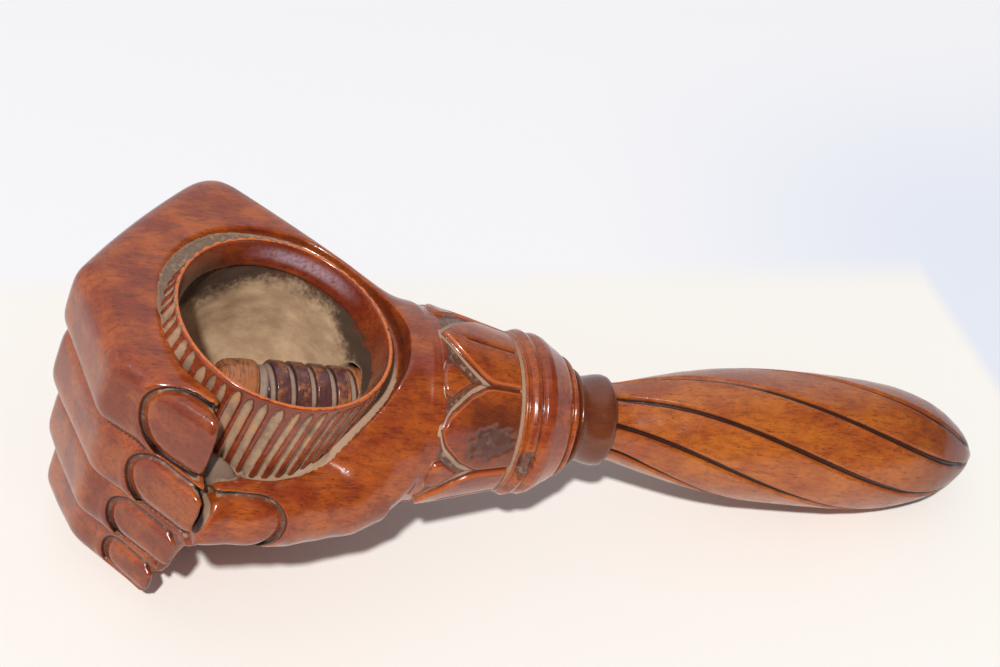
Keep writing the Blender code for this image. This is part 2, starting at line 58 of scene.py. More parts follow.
# %% The hand's frame
MM = 0.001
turning = next(joint for joint in frame["joints"] if joint["name"] == "handle_turn")
ORIGIN = np.array(turning["pos_m"])
ALONG = np.array(turning["axis"]) / np.linalg.norm(turning["axis"])
BACKWARD = np.array([0.0, 1.0, 0.0])
UPWARD = np.cross(ALONG, BACKWARD)
TILT = math.atan2(-ALONG[2], ALONG[0])


def placed(points):
    """Points of the hand's frame in metres of the world: origin + x along + y back + z up."""
    turned = points[:, :1] * ALONG + points[:, 1:2] * BACKWARD + points[:, 2:3] * UPWARD
    return ORIGIN + turned * MM


print("tilt of the screw in degrees:", round(math.degrees(TILT), 2))

# %% [markdown]
# The camera stands where the photograph was taken from. Its place and lens were worked out from
# the bowl's round mouth and the screw's straight axis.

# %% The camera
CAMERA_PLACE = (-0.08185, -0.26539, 0.34040)
CAMERA_TURN = (42.641, -5.136, -10.176)
LENS = 82.8
camera = bpy.data.objects.new("camera", bpy.data.cameras.new("camera"))
bpy.context.collection.objects.link(camera)
camera.location = CAMERA_PLACE
camera.rotation_euler = [math.radians(turn) for turn in CAMERA_TURN]
camera.data.lens = LENS
camera.data.sensor_width = 36.0
camera.data.clip_start = 0.01
bpy.context.scene.camera = camera
bpy.context.scene.view_settings.view_transform = "Standard"
print("camera lens in mm:", camera.data.lens)

# %% [markdown]
# A piece is one mesh: an array of points, four-sided faces, and three-sided ones where a form
# closes in a pole. Values painted on the points, such as how much dust lies there, become
# attributes that its finish reads.

# %% Meshes from arrays


def build(name, points, quads, tris, painted):
    """A mesh object from whole arrays: points in mm, faces as rows of point numbers."""
    mesh = bpy.data.meshes.new(name)
    mesh.vertices.add(len(points))
    mesh.vertices.foreach_set("co", placed(points).astype(np.float32).ravel())
    corners = np.concatenate([quads.ravel(), tris.ravel()]).astype(np.int32)
    sizes = np.concatenate([np.full(len(quads), 4), np.full(len(tris), 3)])
    starts = np.concatenate([[0], np.cumsum(sizes)[:-1]]).astype(np.int32)
    mesh.loops.add(len(corners))
    mesh.loops.foreach_set("vertex_index", corners)
    mesh.polygons.add(len(sizes))
    mesh.polygons.foreach_set("loop_start", starts)
    mesh.update(calc_edges=True)
    mesh.validate()
    for label, values in painted.items():
        layer = mesh.attributes.new(label, "FLOAT", "POINT")
        layer.data.foreach_set("value", values.astype(np.float32).ravel())
    mesh.shade_smooth()
    piece = bpy.data.objects.new(name, mesh)
    bpy.context.collection.objects.link(piece)
    return piece


def turned_grid(along, radius):
    """A form turned about the x axis: point = (along, radius cos a, radius sin a).

    Both arrays have one row for each place along the axis and one column for each angle a.
    """
    angles = np.linspace(0, math.tau, radius.shape[1], endpoint=False)[None, :]
    return np.stack([along + radius * 0, radius * np.cos(angles), radius * np.sin(angles)], axis=-1)


def closed_tube(grid):
    """Points and faces of rows of rings, closed at both ends by a pole in the end ring's middle.

    The faces point outwards where the rows run along the axis about which the angle turns.
    """
    rows, columns = grid.shape[:2]
    points = np.concatenate([grid.reshape(-1, 3), grid[0].mean(0)[None], grid[-1].mean(0)[None]])
    row, column = np.meshgrid(np.arange(rows - 1), np.arange(columns), indexing="ij")
    beside = (column + 1) % columns
    low, high = row * columns, (row + 1) * columns
    quads = np.stack([low + column, low + beside, high + beside, high + column], axis=-1).reshape(-1, 4)
    ring = np.arange(columns)
    after = (ring + 1) % columns
    first = np.stack([np.full(columns, rows * columns), after, ring], axis=-1)
    last_row = (rows - 1) * columns
    final = np.stack([np.full(columns, rows * columns + 1), last_row + ring, last_row + after], axis=-1)
    return points, quads, np.concatenate([first, final])


def build_tube(name, grid, painted, flip=False):
    """Rings closed at both ends as a mesh object, with values painted on the grid's points.

    Each pole gets the mean of its end ring's values. Flip turns the faces round.
    """
    points, quads, tris = closed_tube(grid)
    if flip:
        quads, tris = quads[:, ::-1], tris[:, ::-1]
    painted = {label: np.concatenate([values.ravel(), [values[0].mean()], [values[-1].mean()]])
               for label, values in painted.items()}
    return build(name, points, quads, tris, painted)


def smooth_step(values, low, high):
    """0 below low, 1 above high, and 3t^2 - 2t^3 between them."""
    t = np.clip((values - low) / (high - low), 0, 1)
    return t * t * (3 - 2 * t)


def near_line(distance, reach, full):
    """1 within full of a line and 0 beyond reach of it, eased between them."""
    return smooth_step(-np.abs(distance), -reach, -full)


def angle_from(angle, centre):
    """The signed angle from a centre, between -180 and 180 degrees."""
    return (angle - centre + 180.0) % 360.0 - 180.0


def look_up(table, value, column=1):
    """A column of a table at a value of its first column, straight between the rows."""
    return np.interp(value, table[:, 0], table[:, column])


def ring_grid(places, columns, first=0):
    """The place and the angle in degrees of every point on rows of rings."""
    return np.meshgrid(places, np.linspace(first, first + 360, columns, endpoint=False), indexing="ij")


def ripple(x, y, z, seed):
    """A gentle unevenness between -1 and 1: three crossing sine waves of unlike lengths."""
    phase = np.array([1.7, 2.9, 4.3]) * seed
    waves = np.sin(x * 0.61 + y * 0.37 + phase[0]) * np.sin(y * 0.53 - z * 0.41 + phase[1])
    return 0.7 * waves + 0.3 * np.sin(z * 0.97 + x * 0.83 + phase[2])


FINE = 1.0
print("mesh fineness:", FINE)

# %% [markdown]
# The fist is a soft, merged form: fingers, thumb, palm and wrist flow into each other, yet the
# creases between the fingers stay crisp. One grid can't follow that, so it is made another way,
# as a field: a function of x, y and z that is below zero inside the wood, roughly the distance
# to its skin. Two fields join by taking the lower one, and an eased lower one blends them.

# %% Joining fields


def soft_max(a, b, ease):
    """The larger field, eased: max(a, b) + (ease - |a - b|)^2 / (4 ease) where they are close."""
    near = np.maximum(ease - np.abs(a - b), 0)
    return np.maximum(a, b) + near * near / (4 * ease)


def soft_min(a, b, ease):
    """The smaller field, eased in the same way, so that two forms flow together."""
    return -soft_max(-a, -b, ease)


# %% [markdown]
# A finger is a slab with a bent outline: seen from above, it lies inside a few straight sides,
# from the knuckle at the back round to its tip. Its section is a rounded square, so its top is
# nearly flat and its edges roll over softly. The creases between fingers are hard minima.

# %% Fingers
THICK = 7.5
FINGER_POWER = 4.0
WRIST_SIDE = ((24.5, 16.0), (17.8, 22.0), (9.6, 30.4))
ROUTES = {
    "index": WRIST_SIDE + ((-6.1, 40.9), (-16.8, 32.8), (-32.3, 11.6), (-27.6, -9.5), (-14.7, -19.9)),
    "middle": WRIST_SIDE + ((-6.1, 40.5), (-16.2, 32.4), (-31.3, 11.6), (-25.8, -10.0), (-13.9, -21.6)),
    "ring": ((-5.5, 39.0), (-14.9, 31.5), (-29.0, 12.4), (-25.0, -6.6), (-14.1, -17.5)),
    "little": ((-4.8, 36.1), (-13.6, 29.1), (-26.6, 12.2), (-22.6, -1.9), (-14.0, -11.8)),
}
# Heights of the creases under the fingers, at the knuckles and at the tips, and where the tips are
CREASES = {
    "index": (-0.8, -0.8, -19.9),
    "middle": (-15.8, -13.0, -21.0),
    "ring": (-30.2, -27.0, -17.5),
    "little": (-43.7, -41.3, -11.4),
}
HAND_TOP = 14.3
CREASE_OVERLAP = 0.9
TIP_REACH = 3.9
# How softly the outline bends at its corners, from the tip's end backwards
CORNER_EASE = (1.0, 1.2, 7.0, 6.0)


def crease_height(name, y):
    """The height of a finger's lower crease: level at the knuckles, then rising to the tip."""
    back, tip, tip_y = CREASES[name]
    return np.interp(y, (tip_y, 6.0), (tip, back))


def finger_field(name, above, x, y, z):
    """A finger's field: (u^p + v^p)^(1/p) - 1, times its half thickness.

    u goes from 0 on the finger's middle line to 1 on its outer side, and v from 0 at half
    its height to 1 at the crease above or below.
    """
    route = ROUTES[name]
    # The index and the middle finger run on into the wrist
    outside = x - (23.0 if name in ("index", "middle") else -5.0)
    for place, ((x0, y0), (x1, y1)) in enumerate(zip(route, route[1:])):
        length = math.hypot(x1 - x0, y1 - y0)
        side = ((x - x0) * (y1 - y0) - (y - y0) * (x1 - x0)) / length
        corner = len(route) - 2 - place
        outside = soft_max(outside, side, CORNER_EASE[min(corner, 3)])
    top = HAND_TOP - CREASE_OVERLAP if above is None else crease_height(above, y)
    bottom = crease_height(name, y)
    middle = (top + bottom) / 2
    half = (top - bottom) / 2 + CREASE_OVERLAP
    u = np.maximum(1 + outside / THICK, 0)
    v = np.abs(z - middle) / half
    field = ((u**FINGER_POWER + v**FINGER_POWER) ** (1 / FINGER_POWER) - 1) * THICK
    return soft_max(field, np.minimum(x - route[-1][0] - TIP_REACH, -9.0 - y), 1.6)


# %% [markdown]
# A nail is a panel let into the finger. The skin ends in a small step, a dusty groove follows,
# and the nail swells up again to the finger's own level. Its outline is half an ellipse that
# runs on to the tip.

# %% Nails
# Root knuckle (x, y), direction to the tip, height of the finger, and in the nail's own plane:
# place of the ellipse's middle along and across, its half length and half width
NAILS = {
    "index": ((-27.6, -9.5), (0.78, -0.626), 6.7, 14.8, 2.1, 8.0, 6.05),
    "middle": ((-25.8, -10.0), (0.716, -0.698), -8.3, 12.1, 2.3, 6.0, 4.5),
    "ring": ((-25.2, -6.6), (0.713, -0.70), -23.0, 10.9, 1.7, 5.2, 3.9),
    "little": ((-22.9, -1.9), (0.67, -0.74), -36.95, 10.9, 0.7, 4.2, 3.3),
}
THUMB_NAIL = (-1.0, -18.0, 6.1, 5.3)
NAIL_DEPTH = 0.75


def ellipse_depth(u, w, long, wide):
    """How far a point lies inside half an ellipse that runs on straight: (1 - g) / |grad g|."""
    u = np.minimum(u, 0)
    g = np.sqrt((u / long) ** 2 + (w / wide) ** 2) + 1e-6
    slope = np.sqrt((u / long**2) ** 2 + (w / wide**2) ** 2) / g + 1e-6
    return (1 - g) / slope


def open_below(w):
    """Widens a nail's lower half, so that its lower edge is the finger's own crease: 0.78 w."""
    return np.where(w < 0, 0.78 * w, w)


def nail_depths(x, y, z):
    """For each nail, how far inside its outline a point is, and how near to its facet."""
    depths = []
    for name, ((x0, y0), (dx, dy), height, along, across, long, wide) in NAILS.items():
        u = (x - x0) * dx + (y - y0) * dy
        out = (x - x0) * dy - (y - y0) * dx
        w = 0.8 * (z - height) - 0.6 * out
        inside = ellipse_depth(u - along, open_below(w - across), long, wide)
        near = smooth_step(out, -6.5, -5.0) * smooth_step(-np.abs(z - height), -9.5, -8.2)
        # The little finger's nail runs out over its lower edge, and the others end at a crease
        clear = (1.2, 2.2) if name == "little" else (-0.1, 0.5)
        rise = z - crease_height(name, y)
        near = near * smooth_step(-x, 9.6, 10.2) * smooth_step(rise, *clear)
        depths.append((inside, near))
    middle, across, long, wide = THUMB_NAIL
    w = 0.5 * y + 0.87 * z
    inside = ellipse_depth(middle - x, open_below(w - across), long, wide)
    near = smooth_step(-y, 14.0, 16.0) * smooth_step(x, -9.6, -9.0) * smooth_step(-z, -1.0, 1.5)
    depths.append((inside, near))
    return depths


def nail_relief(inside):
    """Height of the skin near a nail: a low lip, a steep step down, then the nail swells up."""
    lip = 0.16 * np.exp(-((inside + 0.7) ** 2) / 0.5)
    step = smooth_step(inside, -0.12, 0.22)
    swell = smooth_step(inside, 0.45, 2.1)
    return lip - NAIL_DEPTH * step * (1 - swell)


# %% [markdown]
# The palm and the back of the hand are rounded sections lofted along the screw. The thumb is a
# chain of balls joined by cones, and the wrist is one cone about the screw.

# %% Palm, thumb and wrist
# Place along the screw, then the section's back and front edges, top and bottom
PALM = np.array([
    (-14.8, 29.9, -10.0, 11.9, -42.2),
    (-6.0, 38.6, -10.8, 11.9, -44.0),
    (1.1, 36.9, -10.0, 11.9, -44.0),
    (9.1, 31.1, -7.0, 11.9, -42.2),
    (17.1, 24.0, -5.0, 12.4, -38.7),
    (23.4, 18.6, -8.3, 13.8, -25.5),
    (28.5, 15.6, -14.4, 15.4, -17.0),
    (36.0, 12.5, -12.5, 12.5, -12.5),
])
# Balls of the thumb from the wrist to the tip: x, y, z and radius
THUMB = (
    (24.0, -9.0, -3.0, 8.6), (20.4, -11.8, -6.3, 8.4), (16.0, -14.0, -8.2, 7.9), (10.5, -15.4, -8.7, 7.7),
    (5.5, -16.6, -8.8, 7.9), (-1.0, -18.2, -8.8, 7.2), (-8.0, -19.2, -8.8, 6.9), (-14.0, -19.8, -8.8, 6.8),
)
# Place along the screw and radius
WRIST_PROFILE = np.array([(12.0, 14.4), (24.0, 16.6), (29.0, 17.15), (44.2, 13.6), (46.0, 13.0)])


def palm_field(x, y, z):
    """Rounded sections: (|y'|^p + |z'|^p)^(1/p) = 1, with centres and half widths eased along x."""
    back, front, top, bottom = (look_up(PALM, x, column) for column in (1, 2, 3, 4))
    power = 2.5
    half_y, half_z = (back - front) / 2, (top - bottom) / 2
    v = np.abs(y - (back + front) / 2) / half_y
    w = np.abs(z - (top + bottom) / 2) / half_z
    g = (v**power + w**power) ** (1 / power) + 1e-6
    slope = np.sqrt((v ** (power - 1) / half_y) ** 2 + (w ** (power - 1) / half_z) ** 2) / g ** (power - 1)
    field = (g - 1) / np.maximum(slope, 0.02)
    return soft_max(field, np.maximum(-14.8 - x, x - 36.0), 3.0)


def round_cone(x, y, z, start, end):
    """Distance to two balls joined by a cone, taking the radius at the nearest middle point."""
    a, b = np.array(start[:3]), np.array(end[:3])
    line = b - a
    t = ((x - a[0]) * line[0] + (y - a[1]) * line[1] + (z - a[2]) * line[2]) / (line @ line)
    t = np.clip(t, 0, 1)
    off = [place - a[axis] - t * line[axis] for axis, place in enumerate((x, y, z))]
    gap = np.sqrt(off[0] ** 2 + off[1] ** 2 + off[2] ** 2)
    return gap - (start[3] + (end[3] - start[3]) * t)


def thumb_field(x, y, z):
    """The thumb: balls and cones joined with a small ease, cut by the slanting end of its tip."""
    field = round_cone(x, y, z, THUMB[0], THUMB[1])
    for start, end in zip(THUMB[1:], THUMB[2:]):
        field = soft_min(field, round_cone(x, y, z, start, end), 1.2)
    end_face = (-8.0 + 0.258 * (z + 2.7) - x) * 0.97
    return soft_max(field, end_face, 1.0)


def wrist_field(x, y, z):
    """A turned form about the screw: distance from the axis less the profile's radius."""
    field = np.hypot(y, z) - look_up(WRIST_PROFILE, x)
    return np.maximum(field, np.maximum(12.0 - x, x - 45.5))


# %% [markdown]
# The bowl leans a little to the handle. Round it, the hand is cut back to a dusty ledge, which
# drops away in front, where the flutes run down to the thumb. The ledge's width and height
# change with the angle round the bowl.

# %% The ledge round the bowl
LEAN = math.radians(4.6)
FLOOR_START, FLOOR_RADIUS, FLOOR_DEPTH = 2.0, 16.9, 18.0
# Angle round the bowl in degrees, radius of the hand's edge, height of the ledge
LEDGE = np.array([
    (-180, 20.4, 12.6), (-165, 20.1, 12.5), (-152, 19.7, 12.0), (-143, 19.5, 10.0), (-130, 19.2, 4.0),
    (-115, 18.9, -1.0), (-95, 18.9, -3.0), (-70, 19.1, -2.0), (-58, 19.4, 0.5), (-48, 19.8, 3.5),
    (-38, 20.5, 7.5), (-28, 21.4, 10.8), (-15, 22.1, 12.8), (5, 22.3, 13.6), (45, 22.8, 13.6),
    (72, 24.2, 13.0), (92, 24.4, 12.8), (110, 24.6, 12.6), (126, 24.0, 12.5), (146, 22.8, 12.5),
    (163, 21.5, 12.6), (180, 20.4, 12.6),
])


def bowl_frame(x, y, z):
    """Distance from the bowl's leaning axis, angle round it in degrees, and height along it."""
    across = x * math.cos(LEAN) - z * math.sin(LEAN)
    height = x * math.sin(LEAN) + z * math.cos(LEAN)
    return np.hypot(across, y), np.degrees(np.arctan2(y, across)), height


def ledge_field(spread, angle, height):
    """Above the ledge and inside the hand's edge: the space that is cut from the hand."""
    return soft_max(spread - look_up(LEDGE, angle), look_up(LEDGE, angle, 2) - height, 1.2)


def hollow_radius(height):
    """The inside of the bowl: a short neck, a straight wall and a round floor."""
    wall = np.interp(
        height, (FLOOR_START, 6.0, 11.0, 11.9, 12.3, 17.2), (FLOOR_RADIUS, 17.3, 17.8, 17.75, 17.2, 18.5)
    )
    below = np.minimum(height - FLOOR_START, 0) / FLOOR_DEPTH
    floor = FLOOR_RADIUS * np.sqrt(np.clip(1 - below**2, 0, 1))
    return np.where(height > FLOOR_START, wall, floor)


# %% [markdown]
# The whole fist is then: fingers with hard creases, blended into palm, wrist and thumb, less
# the ledge, the bowl's hollow, the nose's seat and the hole for the screw, and cut level where
# it rests on the table.

# %% The whole fist
SEAT_RADIUS, SEAT_START, SEAT_END, BORE_RADIUS = 6.15, 6.0, 22.2, 5.65
HOLLOW_GAP, HOLLOW_DEPTH = 0.35, 16.6
# Where the wrist has to stay below the cuff's leaves: place along the screw and radius
COLLAR_SEAT = np.array([
    (-40.0, 90.0), (16.0, 60.0), (24.0, 20.5), (27.5, 17.4), (29.0, 17.1), (44.2, 13.5), (60.0, 13.0),
])
TABLE_DEPTH = ORIGIN[2] / MM


def web_field(x, y, z):
    """The web between the index finger's tip and the thumb: distance to a short upright rod."""
    return np.sqrt((x + 7.5) ** 2 + (y + 13.5) ** 2 + np.maximum(np.abs(z + 6.5) - 3.5, 0) ** 2) - 6.3


def fist_field(x, y, z):
    """The fist's field at arrays of places in the hand's frame."""
    above = None
    fingers = None
    for name in ROUTES:
        form = finger_field(name, above, x, y, z)
        fingers = form if fingers is None else np.minimum(fingers, form)
        above = name
    body = soft_min(palm_field(x, y, z), wrist_field(x, y, z), 4.0)
    field = soft_min(fingers, body, 4.0)
    thumb_ease = np.interp(x, (6.0, 18.0), (0.8, 5.0))
    field = soft_min(field, thumb_field(x, y, z), thumb_ease)
    cuff_seat = np.hypot(y, z) - look_up(COLLAR_SEAT, x)
    field = soft_max(field, cuff_seat, 0.8)
    field = np.minimum(field, web_field(x, y, z))
    for inside, near in nail_depths(x, y, z):
        field = field - nail_relief(inside) * near
    spread, angle, height = bowl_frame(x, y, z)
    field = soft_max(field, -ledge_field(spread, angle, height), 0.7)
    # The hollow is cut wider than the bowl's inside, so the hand's skin hides in the bowl's wall
    hollow = np.maximum(spread - hollow_radius(height) - HOLLOW_GAP, -HOLLOW_DEPTH - height)
    seat = np.hypot(y, z) - np.where(x < SEAT_END, SEAT_RADIUS, BORE_RADIUS)
    seat = np.maximum(seat, SEAT_START - x)
    table = -(x * ALONG[2] + z * UPWARD[2]) - TABLE_DEPTH
    return soft_max(np.maximum(np.maximum(field, -hollow), -seat), table, 0.3)


def field_slope(field, points, step=0.12):
    """The field's value and unit direction outwards, from values on both sides along each axis."""
    value = field(*points.T)
    sides = []
    for axis in range(3):
        shift = np.zeros(3)
        shift[axis] = step
        sides.append(field(*(points + shift).T) - field(*(points - shift).T))
    slope = np.stack(sides, axis=-1) / (2 * step)
    steep = np.linalg.norm(slope, axis=-1, keepdims=True) + 1e-9
    return value, slope / steep, steep[:, 0]


# %% [markdown]
# The field is sampled on a grid of fine cells and skinned where it is zero. The skin's points
# are then moved along the field's slope until they lie exactly on it.

# %% Skin the field
# With this cell the hand stays just under 200,000 triangles after the division near the nails
CELL = 0.576 / FINE
LOWEST = np.array([-34.5, -28.0, -46.5])
HIGHEST = np.array([47.0, 43.5, 20.5])


def skin_field(field, low, high, cell):
    """Points and four-sided faces of the surface where the field is zero."""
    axes = [np.arange(low[axis], high[axis], cell, dtype=np.float32) for axis in range(3)]
    values = np.empty([len(axis) for axis in axes], np.float32)
    for first in range(0, len(axes[0]), 16):
        slab = slice(first, first + 16)
        x, y, z = np.meshgrid(axes[0][slab], axes[1], axes[2], indexing="ij")
        values[slab] = field(x, y, z)
    grid = openvdb.FloatGrid(4.0)
    grid.copyFromArray(np.clip(values, -4, 4))
    points, quads = grid.convertToQuads(isovalue=0.0)
    return points * cell + low, quads


def settle(field, points, rounds=4):
    """Moves points on to the field's zero surface: p - direction * value / steepness, repeated."""
    for _ in range(rounds):
        value, direction, steep = field_slope(field, points)
        move = np.clip(value / np.maximum(steep, 0.3), -0.3, 0.3)
        points = points - direction * move[:, None]
    return points


fist_points, fist_quads = skin_field(fist_field, LOWEST, HIGHEST, CELL)
fist_points = settle(fist_field, fist_points.astype(float))
print("fist:", len(fist_points), "points,", len(fist_quads), "faces")

# %% [markdown]
# Near the nails the faces are divided again, so that the steps are crisp. First all faces are
# turned to point outwards, the way that the field rises.

# %% Divide near the nails


def divide_near(points, faces, chosen):
    """Splits the edges whose two ends are chosen, and returns points and triangles."""
    shaped = bmesh.new()
    mesh = bpy.data.meshes.new("dividing")
    mesh.from_pydata(points, [], faces.tolist())
    shaped.from_mesh(mesh)
    bmesh.ops.triangulate(shaped, faces=shaped.faces)
    near = chosen(points)
    shaped.verts.ensure_lookup_table()
    edges = [edge for edge in shaped.edges if near[edge.verts[0].index] and near[edge.verts[1].index]]
    bmesh.ops.subdivide_edges(shaped, edges=edges, cuts=1)
    bmesh.ops.triangulate(shaped, faces=[face for face in shaped.faces if len(face.verts) > 3])
    shaped.to_mesh(mesh)
    shaped.free()
    co = np.empty(len(mesh.vertices) * 3)
    mesh.vertices.foreach_get("co", co)
    corners = np.empty(len(mesh.loops), np.int32)
    mesh.loops.foreach_get("vertex_index", corners)
    bpy.data.meshes.remove(mesh)
    return co.reshape(-1, 3), corners.reshape(-1, 3)


def near_nail(points, reach):
    """Whether a point lies on a nail's facet within reach of its outline."""
    close = np.zeros(len(points), bool)
    for inside, near in nail_depths(*points.T):
        close |= (np.abs(inside - 0.25) < reach) & (near > 0.5)
    return close


rising = field_slope(fist_field, fist_points[fist_quads[:, 0]])[1]
first_edge = fist_points[fist_quads[:, 1]] - fist_points[fist_quads[:, 0]]
second_edge = fist_points[fist_quads[:, 2]] - fist_points[fist_quads[:, 0]]
if (np.einsum("ij,ij->i", np.cross(first_edge, second_edge), rising) < 0).mean() > 0.5:
    fist_quads = fist_quads[:, ::-1]
fist_points, fist_tris = divide_near(fist_points, fist_quads, lambda p: near_nail(p, 1.0))
fist_points = settle(fist_field, fist_points, 2)
fist_points, fist_tris = divide_near(fist_points, fist_tris, lambda p: near_nail(p, 0.5))
fist_points = settle(fist_field, fist_points, 2)
print("fist after dividing:", len(fist_points), "points,", len(fist_tris), "triangles")

# %% [markdown]
# Dust lies where the wood is hollow: a point a little way off the skin is then closer to other
# wood than to the point below it. The same measure from inside finds the edges, which are rubbed
# brighter. Painted shade darkens the creases and hollows, the ledge's edge and the web beside the
# fingertips; dark lines run round the nails, and the ledge is grey with dirt.
# All of it is painted on the points, so that it stays with the shape.

# %% Paint and build the fist


def hollowness(points, outwards, reach):
    """0 on flat skin up to 1 in a hollow: 1 - field(p + reach * outwards) / reach.

    With a reach below 0 it looks inwards, and finds edges in the same way.
    """
    return np.clip(1 - fist_field(*(points + outwards * reach).T) / reach, 0, 1.5)


outwards = field_slope(fist_field, fist_points)[1]
x, y, z = fist_points.T
spread, angle, height = bowl_frame(x, y, z)

dust = smooth_step(hollowness(fist_points, outwards, 1.3), 0.35, 0.95)
dust = dust * smooth_step(x, -15.0, -11.0) * smooth_step(z, -20.0, -14.0) * 0.75
# Painted shade: creases and hollows between the fingers are darkened where shade falls.
dark = smooth_step(hollowness(fist_points, outwards, 0.7), 0.35, 0.8)
worn = smooth_step(hollowness(fist_points, outwards, -0.8), 0.4, 1.0)

ledge_edge = look_up(LEDGE, angle)
on_ledge = smooth_step(ledge_edge - spread, 0.15, 0.6) * smooth_step(height, -7.0, -4.0)
dust = np.maximum(dust, on_ledge * smooth_step(-x, -24.0, -20.0))
# Painted shadow: a dark line along the ledge's edge, where the step throws shade.
ledge_line = near_line(ledge_edge - spread - 0.1, 0.45, 0.1)
dark = np.maximum(dark, ledge_line * (height > 9.0) * (z < 14.0) * 0.45)

web = near_line(web_field(x, y, z), 0.5, 0.15) * smooth_step(-y, 9.0, 11.0)
dust = np.maximum(dust, web * 0.8)
# Painted shade: the web is darkened, most of all beside the index and middle fingertips.
beside_tip = np.minimum(finger_field("index", None, x, y, z), finger_field("middle", "index", x, y, z))
dark = np.maximum(dark, web * (0.54 + 0.25 * smooth_step(-beside_tip, -1.8, -0.1)))
grime = web * 0.3

for inside, near in nail_depths(x, y, z):
    groove = smooth_step(inside, 0.0, 0.3) * (1 - smooth_step(inside, 0.35, 1.3)) * near
    grime = np.maximum(grime, groove)
    dark = np.maximum(dark, near_line(inside - 0.08, 0.32, 0.06) * near * 0.62)
grime = np.maximum(grime, on_ledge * smooth_step(y, -8.0, 6.0) * 0.85)

# Painted dark reflection: the fingers' front faces and the wrist's front side near the cuff are
# painted a deeper red, where their gloss would show the dark room.
facets = smooth_step(-outwards[:, 1], 0.45, 0.7) * smooth_step(-x, 8.0, 12.0)
wrist_side = smooth_step(x, 8.0, 18.0) * smooth_step(-y, -10.0, -2.0)
deep = np.maximum(0.30 * facets, 0.12 * wrist_side)
fist = build("carved_hand", fist_points, np.empty((0, 4), int), fist_tris, {
    "dust": dust, "dark": dark, "worn": worn, "grime": grime, "deep": deep})
fist.data.normals_split_custom_set_from_vertices(
    (outwards[:, :1] * ALONG + outwards[:, 1:2] * BACKWARD + outwards[:, 2:3] * UPWARD).tolist()
)
print("fist dust mean:", round(float(dust.mean()), 3))

# %% [markdown]
# The bowl is a turned cup, so it is a grid of angle and profile: the fluted outside, the worn
# rim, the glossy neck and the rough hollow, closed under its floor. The flutes are scoops of
# round section with sharp lands between them, each a little uneven, as a gouge leaves them.

# %% The fluted bowl
FLUTE_COUNT = 48
FLUTE_SHARE = 0.32
FLUTE_DEPTH = 0.8
RIM_TOP = 17.2


def flute_pattern(angle, height):
    """Depth of the scoops, from 0 on a land to 1 in a groove's middle.

    With t the place across one flute: sqrt(1 - (t / w)^2), where w narrows to 0 at the top.
    """
    turns = angle / 360.0 * FLUTE_COUNT
    wobble = 0.10 * np.sin(angle * 0.11 + 1.3) + 0.07 * np.sin(angle * 0.29)
    number = np.round(turns + wobble)
    t = turns + wobble - number + 0.05 * np.sin(number * 2.4)
    t = t + (height - 8.0) * 0.004 * np.sin(number * 1.7)
    # Away from the front the scoops run out through the rim, and they are a little wider
    turned_away = np.abs(angle_from(angle, -80.0))
    top = 16.15 + 0.25 * np.sin(number * 3.1) + 2.3 * smooth_step(turned_away, 60.0, 105.0)
    wide = FLUTE_SHARE + 0.03 * smooth_step(turned_away, 50.0, 90.0)
    width = (wide + 0.02 * np.sin(number * 5.3)) * np.sqrt(np.clip((top - height) / 2.2, 0, 1))
    return np.sqrt(np.clip(1 - (t / np.maximum(width, 1e-4)) ** 2, 0, 1)) * (width > 0.01)


def bowl_points(spread, angle, height):
    """Points of the hand's frame from distance, angle and height about the leaning axis."""
    across = spread * np.cos(np.radians(angle))
    x = across * math.cos(LEAN) + height * math.sin(LEAN)
    z = -across * math.sin(LEAN) + height * math.cos(LEAN)
    return np.stack([x, spread * np.sin(np.radians(angle)), z], axis=-1)


# The wall spreads to the hand on the left, far and right sides: angle round the bowl, spread in mm
WALL_SPREAD = np.array([
    (-180, 1.15), (-155, 0.9), (-140, 0.35), (-120, 0.0), (-50, 0.0), (-25, 0.6),
    (0, 1.0), (60, 1.4), (120, 1.6), (160, 1.3), (180, 1.15),
])
# Where the hollow is darkest, by stain and painted shade: angle round the bowl and strength
STAIN_AND_SHADE_TABLE = np.array([
    (-180, 1.0), (-150, 0.7), (-110, 0.25), (-50, 0.3), (-15, 0.75), (15, 0.95),
    (45, 0.5), (75, 0.35), (100, 0.75), (130, 1.0), (180, 1.0),
])

columns = int(FLUTE_COUNT * 11 * FINE)
outer = np.linspace(-8.0, 16.75, int(78 * FINE))
# Height and radius of the rounded rim
lip = np.array([(17.02, 19.27), (17.17, 19.1), (17.2, 18.9), (17.17, 18.68), (17.0, 18.52), (16.6, 18.38)])
inner = np.linspace(16.2, FLOOR_START, int(50 * FINE))
floor_turn = np.radians(np.linspace(4, 88, int(36 * FINE)))
floor = FLOOR_START - FLOOR_DEPTH * np.sin(floor_turn)
profile_height = np.concatenate([[-20.0], outer, lip[:, 0], inner, floor])
profile_spread = np.concatenate([
    [0.6], np.interp(outer, (-8.0, 0.0, 16.75), (17.45, 17.9, 19.36)), lip[:, 1], hollow_radius(inner),
    FLOOR_RADIUS * np.cos(floor_turn),
])
height, angle = ring_grid(profile_height, columns, -180)
spread = np.repeat(profile_spread[:, None], columns, axis=1)
outside = np.zeros(len(profile_height), bool)
outside[1 : 1 + len(outer) + 2] = True
scoop = flute_pattern(angle, height) * outside[:, None]
below_rim = smooth_step(-height, -16.4, -12.2) * outside[:, None]
spread += look_up(WALL_SPREAD, angle) * below_rim
dent = 0.12 * ripple(angle * 0.5, height * 2.0, height * 0, 3)
spread = spread - FLUTE_DEPTH * scoop * (1 - 0.6 * smooth_step(height, 15.6, 16.8))
inside = (np.arange(len(profile_height)) > len(outer) + 4)[:, None] & (height < 16.9)
spread = spread + np.where(inside, dent * smooth_step(16.0 - height, 2.0, 6.0), 0.0)
